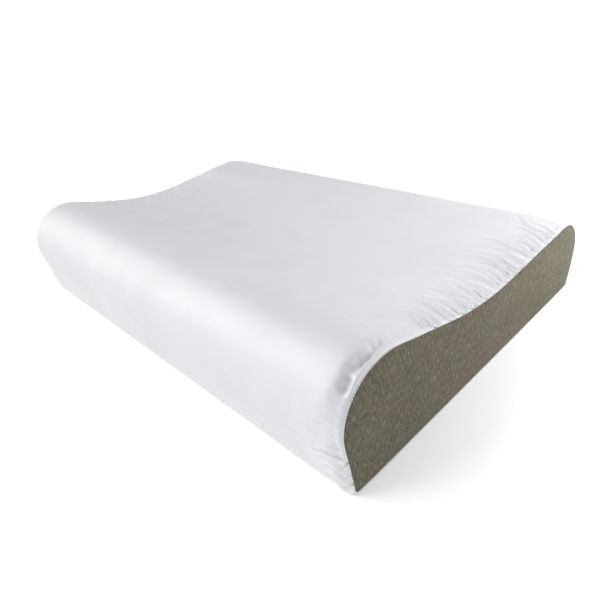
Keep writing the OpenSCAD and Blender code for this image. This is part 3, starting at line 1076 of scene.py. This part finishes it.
def coil_nylon(colours):
    f = Finish("coil_nylon", 0.34)
    nap = f.use("nap", Place=f.solid, Fuzz_Size=0.0004, Patch_Size=0.02)
    base = colours.coil
    f.colour(f.t.mix(f.t.ramp(nap["Patch"], 0.35, 0.7), shade(base, 1.0), shade(base, 0.88)))
    f.rough(f.t.ramp(nap["Patch"], 0.3, 0.7, 0.28, 0.42))
    f.bumps((nap["Height"], 0.08, 0.0001),)
    return f.material


def lacquered_metal(colours):
    f = Finish("lacquered_zip_metal", 0.32, Coat_Weight=0.5, Coat_Roughness=0.15)
    nap = f.use("nap", Place=f.solid, Fuzz_Size=0.00035, Patch_Size=0.004)
    wear = f.t.node("ShaderNodeNewGeometry").outputs["Pointiness"]
    worn = f.t.math("MULTIPLY", f.t.ramp(wear, 0.53, 0.6), f.t.ramp(nap["Patch"], 0.5, 0.62), clamp=True)
    base = colours.lacquer
    colour = f.t.mix(f.t.ramp(nap["Patch"], 0.3, 0.7), shade(base, 1.0), shade(base, 0.93))
    f.colour(f.t.mix(worn, colour, (0.55, 0.55, 0.57, 1)))
    f.t.put(f.shader.inputs["Metallic"], worn)
    f.rough(f.t.ramp(nap["Height"], 0.3, 0.7, 0.26, 0.38))
    f.bumps((nap["Height"], 0.06, 0.0001),)
    return f.material


def foam_finish(colours):
    f = Finish("moulded_foam", 0.9)
    nap = f.use("nap", Place=f.solid, Fuzz_Size=0.0012, Patch_Size=0.04)
    cells = f.t.node("ShaderNodeTexVoronoi", f.solid)
    cells.inputs["Scale"].default_value = 900.0
    pores = f.t.ramp(cells.outputs["Distance"], 0.1, 0.45)
    base = colours.foam
    colour = f.t.mix(f.t.ramp(nap["Patch"], 0.3, 0.7), shade(base, 1.0), shade(base, 0.93))
    # painted shade in the pores' hollows: the foam 0.78 as bright there
    f.colour(f.t.mix(pores, shade(base, 0.78), colour))
    f.rough(f.t.ramp(nap["Patch"], 0.3, 0.7, 0.84, 0.95))
    f.bumps((pores, 0.5, 0.0004), (nap["Height"], 0.3, 0.0005))
    return f.material


def liner_cloth(colours):
    f = Finish("liner_jersey", 0.85, Sheen_Weight=0.2)
    knit = f.use("knit", Cloth_Place=f.cloth, Wale=0.0013, Course=0.0011)
    nap = f.use("nap", Place=f.solid, Fuzz_Size=0.0008, Patch_Size=0.05)
    base = colours.liner
    colour = f.t.mix(f.t.ramp(nap["Patch"], 0.3, 0.7), shade(base, 1.0), shade(base, 0.95))
    # painted shade between the loops: the jersey 0.6 as bright where they part
    f.colour(f.t.mix(f.t.math("MULTIPLY", knit["Gap"], 0.35), colour, shade(base, 0.6)))
    f.rough(f.t.ramp(nap["Patch"], 0.3, 0.7, 0.8, 0.92))
    f.bumps((knit["Height"], 0.5, 0.0003), (nap["Height"], 0.25, 0.0003))
    return f.material


def label_satin(colours):
    f = Finish("label_satin", 0.4, Sheen_Weight=0.3)
    weave = f.use("weave", Cloth_Place=f.cloth, Thread_Pitch=0.0003, Step=2.0, Repeat=5.0)
    nap = f.use("nap", Place=f.solid, Fuzz_Size=0.0005, Patch_Size=0.01)
    base = colours.label
    # painted shade between the threads: the ribbon 0.75 as bright where they part
    f.colour(f.t.mix(f.t.math("MULTIPLY", weave["Gap"], 0.3), shade(base, 1.0), shade(base, 0.75)))
    f.rough(f.t.ramp(nap["Patch"], 0.3, 0.7, 0.34, 0.48))
    f.bumps((weave["Height"], 0.3, 0.0001),)
    return f.material


def finish(name):
    """The named material, made the first time it is asked for."""
    colours = bpy.context.scene.pillow_colours
    makers = {
        "white": lambda: white_cloth(colours),
        "knit": lambda: knit_cloth(colours),
        # the underside panel is the end panels' knit at 0.92 as bright: painted shade for the underside
        "base": lambda: knit_cloth(colours, "base_knit", 0.92),
        "thread": lambda: sewing_thread(colours),
        "tape": lambda: zip_tape_cloth(colours),
        "coil": lambda: coil_nylon(colours),
        "lacquer": lambda: lacquered_metal(colours),
        "foam": lambda: foam_finish(colours),
        "liner": lambda: liner_cloth(colours),
        "label": lambda: label_satin(colours),
    }
    if name not in FINISHES:
        FINISHES[name] = makers[name]()
    return FINISHES[name]


# ---------------------------------------------------------------- settings

def length_value(name, words, default, low=0.0):
    return bpy.props.FloatProperty(name=name, description=words, default=default, min=low,
                                   subtype="DISTANCE", unit="LENGTH", precision=5)


def colour_value(name, words, default):
    return bpy.props.FloatVectorProperty(name=name, description=words, default=default, size=3, min=0,
                                         max=1, subtype="COLOR")


class PillowSizes(bpy.types.PropertyGroup):
    gather_spacing: length_value("Gather spacing", "Distance between gathers at the end seams", 0.011)
    gather_height: length_value("Gather height", "How high the strongest gathers stand", 0.0027)
    stitch_pitch: length_value("Stitch pitch", "Distance between stitches", 0.0032)
    stitch_length: length_value("Stitch length", "Length of one visible stitch", 0.0025)
    thread_width: length_value("Thread width", "Thickness of the sewing thread", 0.00055)
    window_half: length_value("Zip window", "Half the gap in the cover that shows the zip", 0.0042)
    coil_pitch: length_value("Coil pitch", "Distance between the zip coil's turns", 0.00145)
    filament: length_value("Coil filament", "Radius of the zip coil's filament", 0.00036)


class PillowColours(bpy.types.PropertyGroup):
    top_cloth: colour_value("Top cloth", "Cloth over the top, front and back", (0.635, 0.64, 0.66))
    knit_base: colour_value("Knit", "Main yarn of the end panels", (0.084, 0.074, 0.041))
    knit_light: colour_value("Knit light fibre", "Light fibres of the end panels", (0.212, 0.19, 0.113))
    knit_dark: colour_value("Knit dark fibre", "Dark fibres of the end panels", (0.029, 0.026, 0.014))
    knit_tint: colour_value("Knit tint", "Second shade of the end panels' yarn", (0.1, 0.083, 0.047))
    thread: colour_value("Thread", "Sewing thread", (0.88, 0.88, 0.87))
    zip_tape: colour_value("Zip tape", "Woven tape of the zip", (0.78, 0.78, 0.77))
    coil: colour_value("Zip coil", "Nylon coil of the zip", (0.80, 0.80, 0.79))
    lacquer: colour_value("Slider", "Lacquer of the zip's slider and pull", (0.80, 0.80, 0.79))
    foam: colour_value("Foam", "Foam core", (0.86, 0.83, 0.74))
    liner: colour_value("Liner", "Jersey liner round the foam", (0.82, 0.82, 0.80))
    label: colour_value("Label", "Care ribbon", (0.88, 0.88, 0.87))
    floor: colour_value("Floor", "Studio floor", (0.95, 0.95, 0.95))


# ---------------------------------------------------------------- pieces

class PILLOW_OT_top_cover(bpy.types.Operator):
    """Makes the white top of the cover, gathered on to the end panels"""
    bl_idname = "pillow.top_cover"
    bl_label = "Top Cover"

    def execute(self, context):
        sizes = context.scene.pillow_sizes
        points, uv = build_top_points(sizes)
        rows, columns = points.shape[:2]
        mesh = make_mesh("cover_top", points, grid_faces(rows, columns)[:, ::-1], uv)
        piece = add_piece("cover_top", mesh, finish("white"), ["cover_top_panel"])
        return {"FINISHED"}


class PILLOW_OT_base_cover(bpy.types.Operator):
    """Makes the underside of the cover, turned up at the back to the zip"""
    bl_idname = "pillow.base_cover"
    bl_label = "Base Cover"

    def execute(self, context):
        sizes = context.scene.pillow_sizes
        points, uv = build_base_points(sizes)
        rows, columns = points.shape[:2]
        mesh = make_mesh("cover_base", points, grid_faces(rows, columns)[:, ::-1], uv)
        piece = add_piece("cover_base", mesh, finish("base"), ["cover_base_panel"])
        return {"FINISHED"}


class PILLOW_OT_end_panels(bpy.types.Operator):
    """Makes the two knitted end panels"""
    bl_idname = "pillow.end_panels"
    bl_label = "End Panels"

    def execute(self, context):
        for side, word in ((-1, "left"), (1, "right")):
            name = "end_panel_" + word
            mesh = end_face_mesh(name, side)
            piece = add_piece(name, mesh, finish("knit"), ["cover_end_" + word])
        return {"FINISHED"}


class PILLOW_OT_seams(bpy.types.Operator):
    """Sews the end seams, the front seam and the back seam on both sides of the zip"""
    bl_idname = "pillow.seams"
    bl_label = "Seams"

    def execute(self, context):
        sizes = context.scene.pillow_sizes
        s = spaced_along(OUTLINE.total, sizes.stitch_pitch)
        step = 0.4 * MM
        from_end = 0.1 * MM
        proud = 0.2 * MM
        for side, word in ((-1, "left"), (1, "right")):
            x = side * (HALF_LENGTH - from_end)
            centres = OUTLINE.place(s, proud - seam_inset(s), x)
            ahead = OUTLINE.place(s + step, proud - seam_inset(s + step), x)
            up = np.concatenate([np.full((len(s), 1), 0.8 * side), OUTLINE.out(s)], 1)
            mesh = stitch_mesh("end_seam_" + word, centres, ahead - centres, up, sizes.stitch_length,
                               sizes.thread_width, lean=0.16)
            add_piece("end_seam_" + word, mesh, finish("thread"), ["end_seam_thread_" + word])
        end_gap = 4 * MM
        length = 2 * HALF_LENGTH - 2 * end_gap
        x = -HALF_LENGTH + end_gap + spaced_along(length, sizes.stitch_pitch)
        centres = OUTLINE.place(np.zeros(len(x)), -0.75 * MM, x)
        add_straight_seam("front_seam", "front_seam_thread", centres, OUTLINE.out(0.0), sizes)
        length = HALF_LENGTH - SEAM_END_GAP - WINDOW_END - SEAM_ZIP_GAP
        x = WINDOW_END + SEAM_ZIP_GAP + spaced_along(length, sizes.stitch_pitch)
        x = np.concatenate([-x[::-1], x])
        centres = flank_point(x, 0, -0.15 * MM)
        add_straight_seam("back_seam", "back_seam_thread", centres, ZIP_OUT, sizes)
        return {"FINISHED"}


class PILLOW_OT_zip(bpy.types.Operator):
    """Makes the zip's tapes, coils, topstitching and bar tacks"""
    bl_idname = "pillow.zip"
    bl_label = "Zip"

    def execute(self, context):
        sizes = context.scene.pillow_sizes
        for sign, word in ((1, "upper"), (-1, "lower")):
            self.tape(sign, word)
            self.coil(sign, word, sizes)
            self.topstitch(sign, word, sizes)
        for word in ("left", "right"):
            self.tack(word, sizes)
        return {"FINISHED"}

    def tape(self, sign, word):
        """One woven tape. Its outline is (away from the chain, up from the tape's top in thicknesses)."""
        top = -0.95 * MM
        thick = 0.45 * MM
        edge, far = 0.8 * MM, 12.2 * MM
        outline = [(far, -0.1), (far, -0.9), (far - 1 * MM, -1.0), (edge + 1.8 * MM, -1.0),
                   (edge + 0.4 * MM, -1.15), (edge, -0.5), (edge + 0.4 * MM, 0.15), (edge + 1.8 * MM, 0.0),
                   (far - 1 * MM, 0.0), (far, -0.1)]
        x = np.linspace(-TAPE_END, TAPE_END, 216)
        rng = np.random.default_rng(SEED + 31 + sign)
        ripple = slow_waves(x, 0 * x, rng, 5, 0.05, 0.06 * MM)
        ring = np.array(outline[:-1])
        out = top + thick * ring[None, :, 1] + ripple[:, None]
        points = flank_point(x[:, None], sign * ring[None, :, 0], out)
        uv = np.stack(np.broadcast_arrays(x[:, None], ring[None, :, 0] + thick * ring[None, :, 1]), -1)
        count = len(ring)
        faces = np.concatenate([grid_faces(len(x), count), wrap_faces(len(x), count)])
        if sign < 0:
            faces = faces[:, ::-1]
        last = (len(x) - 1) * count
        faces = faces.tolist() + [list(range(count)), [last + i for i in range(count - 1, -1, -1)]]
        mesh = make_mesh("zip_tape_" + word + "_web", points, faces, uv)
        piece = add_piece("tape_" + word, mesh, finish("tape"), ["zip_tape_" + word])

    def coil(self, sign, word, sizes):
        """One nylon coil. The lower coil is half a turn on from the upper one, so that they mesh."""
        half = COIL_END - COIL_END_GAP
        turns = int(2 * half / sizes.coil_pitch)
        shift = 0.5 if sign < 0 else 0.0
        paths = []
        # one turn in millimetres: (away from the chain's middle, out from the tape)
        loop = spline_through([(2.3, -0.55), (1.4, -0.72), (0.4, -0.6), (-0.28, -0.28), (-0.42, 0.1),
                               (-0.28, 0.48), (0.4, 0.72), (1.4, 0.78), (2.3, 0.62), (2.75, 0.05),
                               (2.3, -0.55)], 17)
        place = np.linspace(0, 1, len(loop))
        for i in range(turns):
            x = -half + (i + shift + place * 0.62) * sizes.coil_pitch
            paths.append(flank_point(x, sign * loop[:, 0] * MM, 0.1 * MM + loop[:, 1] * MM))
        mesh = tube_mesh("coil_" + word, paths, sizes.filament)
        add_piece("coil_" + word, mesh, finish("coil"), ["zip_coil_" + word])

    def topstitch(self, sign, word, sizes):
        x = -WINDOW_END + spaced_along(2 * WINDOW_END, sizes.stitch_pitch)
        centres = flank_point(x, sign * (sizes.window_half + 1.6 * MM), 0.12 * MM)
        add_straight_seam("topstitch_" + word, "zip_topstitch_" + word, centres, ZIP_OUT, sizes)

    def tack(self, word, sizes):
        """A bar tack: a close zigzag of thread over the chain's end."""
        low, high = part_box("zip_bar_tack_" + word)
        middle = (low.x + high.x) / 2
        up = np.linspace(-TACK_HALF, TACK_HALF, TACK_ROWS)
        lean = np.where(np.arange(TACK_ROWS) % 2 == 0, 0.35, -0.35)
        centres = flank_point(middle, up, 1.05 * MM)
        along = np.column_stack([np.ones(TACK_ROWS), ZIP_UP[0] * lean, ZIP_UP[1] * lean])
        out = np.tile(np.append(0, ZIP_OUT), (TACK_ROWS, 1))
        width = high.x - low.x
        mesh = stitch_mesh("bar_tack_" + word, centres, along, out, width, sizes.thread_width * 1.15)
        add_piece("bar_tack_" + word, mesh, finish("thread"), ["zip_bar_tack_" + word])


class PILLOW_OT_slider(bpy.types.Operator):
    """Finishes the zip's slider and pull with rounded edges and lacquer"""
    bl_idname = "pillow.slider"
    bl_label = "Slider"

    def execute(self, context):
        for name in ("zip_slider", "zip_pull"):
            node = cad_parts[name]
            node.data.materials.clear()
            node.data.materials.append(finish("lacquer"))
            weld = node.modifiers.new("weld", "WELD")
            weld.merge_threshold = SLIDER_WELD
            rounding = node.modifiers.new("rounding", "BEVEL")
            rounding.width = SLIDER_ROUNDING
            rounding.segments = 2
            rounding.limit_method = "ANGLE"
            rounding.angle_limit = math.radians(40)
        return {"FINISHED"}


def block_points(inset, half, soft, spacing, rows):
    """A closed block with the pillow's outline: rings round it from one end to the other."""
    count = int(OUTLINE.total / spacing)
    s = np.arange(count) * OUTLINE.total / count
    edge = soft * (1 - np.cos(np.linspace(0, math.pi / 2, 6)))
    depth = soft * (1 - np.sin(np.linspace(0, math.pi / 2, 6)))
    t = np.concatenate([edge, np.linspace(soft, half, rows)[1:]])
    d = np.concatenate([depth, np.zeros(rows - 1)])
    x = np.concatenate([-(half - t), (half - t)[::-1][1:]])
    d = np.concatenate([d, d[::-1][1:]])
    drawn = end_rounding(s[None, :], half - np.abs(x)[:, None])
    return OUTLINE.place(s[None, :], -(inset + d[:, None] + drawn), x[:, None])


class PILLOW_OT_inside(bpy.types.Operator):
    """Makes the foam block and its jersey liner"""
    bl_idname = "pillow.inside"
    bl_label = "Foam and Liner"

    def execute(self, context):
        sizes = context.scene.pillow_sizes
        self.foam()
        self.liner(sizes)
        return {"FINISHED"}

    def foam(self):
        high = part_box("foam_core")[1]
        inset = CAD_HIGH.z - high.z
        points = block_points(inset, high.x, soft=4 * MM, spacing=5 * MM, rows=60)
        rings, count = points.shape[:2]
        faces = np.concatenate([grid_faces(rings, count), wrap_faces(rings, count)]).tolist()
        cloud = [points.reshape(-1, 3)]
        total = rings * count
        for end, ring in ((-1, 0), (1, rings - 1)):
            loop = points[ring][:, 1:]
            flat, tris, of_loop = filled_end(loop, 9 * MM, 4 * MM)
            cap = np.column_stack([np.full(len(flat), points[ring][0, 0]), flat])
            index, extra = joined_fill(total, ring * count, cap, of_loop)
            total += len(extra)
            cloud.append(extra)
            for f in tris:
                face = [index[i] for i in f]
                faces.append(face if end < 0 else face[::-1])
        mesh = make_mesh("foam_block", np.vstack(cloud), faces)
        piece = add_piece("foam_block", mesh, finish("foam"), ["foam_core"])

    def liner(self, sizes):
        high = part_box("liner_wrap")[1]
        inset = CAD_HIGH.z - high.z
        count = int(OUTLINE.total / (4 * MM))
        s = np.arange(count + 1) * OUTLINE.total / count
        steps = np.concatenate([np.linspace(0, 24, 13), np.linspace(28, high.x / MM, 66)]) * MM
        x = np.concatenate([-(high.x - steps), (high.x - steps)[::-1][1:]])
        rng = np.random.default_rng(SEED + 51)
        n = -inset + slow_waves(x[None, :], s[:, None], rng, 6, 0.09, 0.05 * MM)
        n = n - end_rounding(s[:, None], high.x - np.abs(x)[None, :])
        n[-1] = n[0]
        points = OUTLINE.place(s[:, None], n, x[None, :])
        uv = np.stack(np.broadcast_arrays(x[None, :], s[:, None]), -1)
        faces = grid_faces(count + 1, len(x))[:, ::-1]
        mesh = make_mesh("liner_sleeve", points, faces, uv)
        piece = add_piece("liner_sleeve", mesh, finish("liner"), ["liner_wrap"])
        for side, word in ((-1, "left"), (1, "right")):
            end_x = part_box("liner_end_right")[1].x
            loop = OUTLINE.place(s[:-1], -inset - seam_inset(s[:-1]), end_x)[:, 1:]
            flat, tris, _ = filled_end(loop, 6 * MM, 3 * MM)
            points = np.column_stack([np.full(len(flat), side * end_x), flat])
            faces = tris if side < 0 else [f[::-1] for f in tris]
            mesh = make_mesh("liner_end_" + word + "_cloth", points, faces, flat)
            piece = add_piece("liner_cap_" + word, mesh, finish("liner"), ["liner_end_" + word])
            seam_s = spaced_along(OUTLINE.total, sizes.stitch_pitch * LINER_PITCH)
            from_end = 0.9 * MM
            proud = 0.1 * MM
            seam_x = side * (end_x - from_end)
            deep = inset + end_rounding(seam_s, from_end)
            ahead = inset + end_rounding(seam_s + MM, from_end)
            centres = OUTLINE.place(seam_s, proud - deep, seam_x)
            along = OUTLINE.place(seam_s + MM, proud - ahead, seam_x) - centres
            out = np.concatenate([np.full((len(seam_s), 1), 0.7 * side), OUTLINE.out(seam_s)], 1)
            mesh = stitch_mesh("liner_seam_" + word, centres, along, out, sizes.stitch_length,
                               sizes.thread_width, lean=0.9)
            add_piece("liner_seam_" + word, mesh, finish("thread"), ["liner_seam_thread_" + word])
        seam = middle_of("liner_closing_thread")
        close_s = OUTLINE.nearest(seam[1], 0.0)
        x = -high.x + spaced_along(2 * high.x, sizes.stitch_pitch * LINER_PITCH)
        centres = OUTLINE.place(np.full(len(x), close_s), -inset + 0.15 * MM, x)
        down = (0.0, -1.0)
        add_straight_seam("liner_closing_seam", "liner_closing_thread", centres, down, sizes)


class PILLOW_OT_label(bpy.types.Operator):
    """Makes the plain care ribbon inside the cover"""
    bl_idname = "pillow.label"
    bl_label = "Care Ribbon"

    def execute(self, context):
        low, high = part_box("care_label")
        u = np.linspace(0, 1, 41)
        v = np.linspace(0, 1, 23)
        width, depth = high.x - low.x, high.y - low.y
        lift = 0.12 * MM * np.sin(u[:, None] * 5.1 + 0.6) * np.sin(v[None, :] * 2.4)
        x = low.x + width * u[:, None] + 0 * v[None, :]
        y = low.y + depth * v[None, :] + 0 * u[:, None]
        z = (low.z + high.z) / 2 + lift
        points = np.stack([x, y, z], -1)
        uv = np.stack([x, y], -1)
        mesh = make_mesh("care_ribbon", points, grid_faces(41, 23)[:, ::-1], uv)
        piece = add_piece("care_ribbon", mesh, finish("label"), ["care_label"])
        weight = piece.modifiers.new("ribbon", "SOLIDIFY")
        weight.thickness = RIBBON_THICKNESS
        return {"FINISHED"}


# ---------------------------------------------------------------- the studio

def aim(thing, place, target):
    thing.location = place
    thing.rotation_mode = "QUATERNION"
    thing.rotation_quaternion = (Vector(target) - Vector(place)).to_track_quat("-Z", "Y")


def soft_light(name, place, target, size, watts):
    """A soft window of light that shines from place to target and doesn't show in reflections."""
    lamp = bpy.data.lights.new(name, "AREA")
    lamp.shape = "RECTANGLE"
    lamp.size, lamp.size_y = size
    lamp.energy = watts
    thing = bpy.data.objects.new(name, lamp)
    thing.visible_glossy = False
    bpy.context.scene.collection.objects.link(thing)
    aim(thing, place, target)
    return thing


def sun_light(name, place, strength, width, colour):
    """A far, soft light that shines from place towards the pillow; width is its angle in degrees."""
    lamp = bpy.data.lights.new(name, "SUN")
    lamp.energy = strength
    lamp.angle = math.radians(width)
    lamp.color = colour
    thing = bpy.data.objects.new(name, lamp)
    bpy.context.scene.collection.objects.link(thing)
    aim(thing, place, (0, 0, 0))
    return thing


class PILLOW_OT_stage(bpy.types.Operator):
    """Sets the floor, the soft lights and the camera"""
    bl_idname = "pillow.stage"
    bl_label = "Stage"

    def execute(self, context):
        self.floor(context)
        self.lights(context)
        self.camera(context)
        return {"FINISHED"}

    def floor(self, context):
        turn = np.linspace(0, 2 * math.pi, 65)[:-1]
        reach = np.array(FLOOR_RINGS)
        points = np.stack([reach[:, None] * np.cos(turn), reach[:, None] * np.sin(turn),
                           0 * reach[:, None] * turn - FLOOR_DROP], -1)
        rows, columns = points.shape[:2]
        faces = np.concatenate([grid_faces(rows, columns), wrap_faces(rows, columns)])[:, ::-1]
        mesh = make_mesh("floor", points, faces.tolist() + [list(range(columns))])
        thing = bpy.data.objects.new("floor", mesh)
        context.scene.collection.objects.link(thing)
        f = Finish("floor_paint", 0.8, Emission_Color=(1, 1, 1, 1),
                   Emission_Strength=FLOOR_GLOW)
        nap = f.use("nap", Place=f.solid, Fuzz_Size=0.004, Patch_Size=0.8)
        base = context.scene.pillow_colours.floor
        f.colour(f.t.mix(f.t.ramp(nap["Patch"], 0.3, 0.7), shade(base, 1.0), shade(base, 0.985)))
        mesh.materials.append(f.material)

    def lights(self, context):
        world = bpy.data.worlds.new("studio")
        context.scene.world = world
        world.use_nodes = True
        t = Sockets(world.node_tree)
        back = world.node_tree.nodes["Background"]
        seen = t.node("ShaderNodeLightPath").outputs["Is Camera Ray"]
        t.put(back.inputs["Color"], t.mix(seen, SKY_COLOUR, (1, 1, 1, 1)))
        missing = t.math("MULTIPLY", seen, 1 - SKY_STRENGTH)
        t.put(back.inputs["Strength"], t.math("ADD", SKY_STRENGTH, missing))
        sun_light("front_light", SUN_PLACE, SUN_STRENGTH, SUN_WIDTH, SUN_COLOUR)
        soft_light("back_light", BACK_LIGHT_PLACE, BACK_LIGHT_TARGET, BACK_LIGHT_SIZE, BACK_LIGHT_WATTS)
        context.scene.view_settings.view_transform = "Standard"

    def camera(self, context):
        azimuth = math.radians(CAMERA_AZIMUTH)
        elevation = math.radians(CAMERA_ELEVATION)
        roll = math.radians(CAMERA_ROLL)
        target = Vector(CAMERA_TARGET)
        back = Vector((math.sin(azimuth) * math.cos(elevation), -math.cos(azimuth) * math.cos(elevation),
                       math.sin(elevation)))
        right = (-back).cross(Vector((0, 0, 1))).normalized()
        up = right.cross(-back).normalized()
        x = right * math.cos(roll) + up * math.sin(roll)
        y = up * math.cos(roll) - right * math.sin(roll)
        data = bpy.data.cameras.new("camera")
        data.sensor_width = SENSOR_WIDTH
        data.lens = LENS
        thing = bpy.data.objects.new("camera", data)
        context.scene.collection.objects.link(thing)
        turn = Matrix((x, y, back)).transposed().to_4x4()
        thing.matrix_world = Matrix.Translation(target + back * CAMERA_DISTANCE) @ turn
        context.scene.camera = thing


STEPS = (
    PILLOW_OT_stage,
    PILLOW_OT_inside,
    PILLOW_OT_base_cover,
    PILLOW_OT_label,
    PILLOW_OT_top_cover,
    PILLOW_OT_end_panels,
    PILLOW_OT_seams,
    PILLOW_OT_zip,
    PILLOW_OT_slider,
)


class PILLOW_PT_panel(bpy.types.Panel):
    """The pillow's settings and steps"""
    bl_idname = "PILLOW_PT_panel"
    bl_label = "Bed Pillow"
    bl_space_type = "VIEW_3D"
    bl_region_type = "UI"
    bl_category = "Bed Pillow"

    def draw(self, context):
        layout = self.layout
        for settings in (context.scene.pillow_sizes, context.scene.pillow_colours):
            box = layout.box()
            for key in settings.__annotations__:
                box.prop(settings, key)
        for step in STEPS:
            layout.operator(step.bl_idname)


CLASSES = (PillowSizes, PillowColours, *STEPS, PILLOW_PT_panel)


def register():
    for each in CLASSES:
        bpy.utils.register_class(each)
    bpy.types.Scene.pillow_sizes = bpy.props.PointerProperty(type=PillowSizes)
    bpy.types.Scene.pillow_colours = bpy.props.PointerProperty(type=PillowColours)


def unregister():
    del bpy.types.Scene.pillow_colours
    del bpy.types.Scene.pillow_sizes
    for each in reversed(CLASSES):
        bpy.utils.unregister_class(each)


def main():
    register()
    for step in STEPS:
        area, name = step.bl_idname.split(".")
        getattr(getattr(bpy.ops, area), name)()


if __name__ == "__main__":
    main()
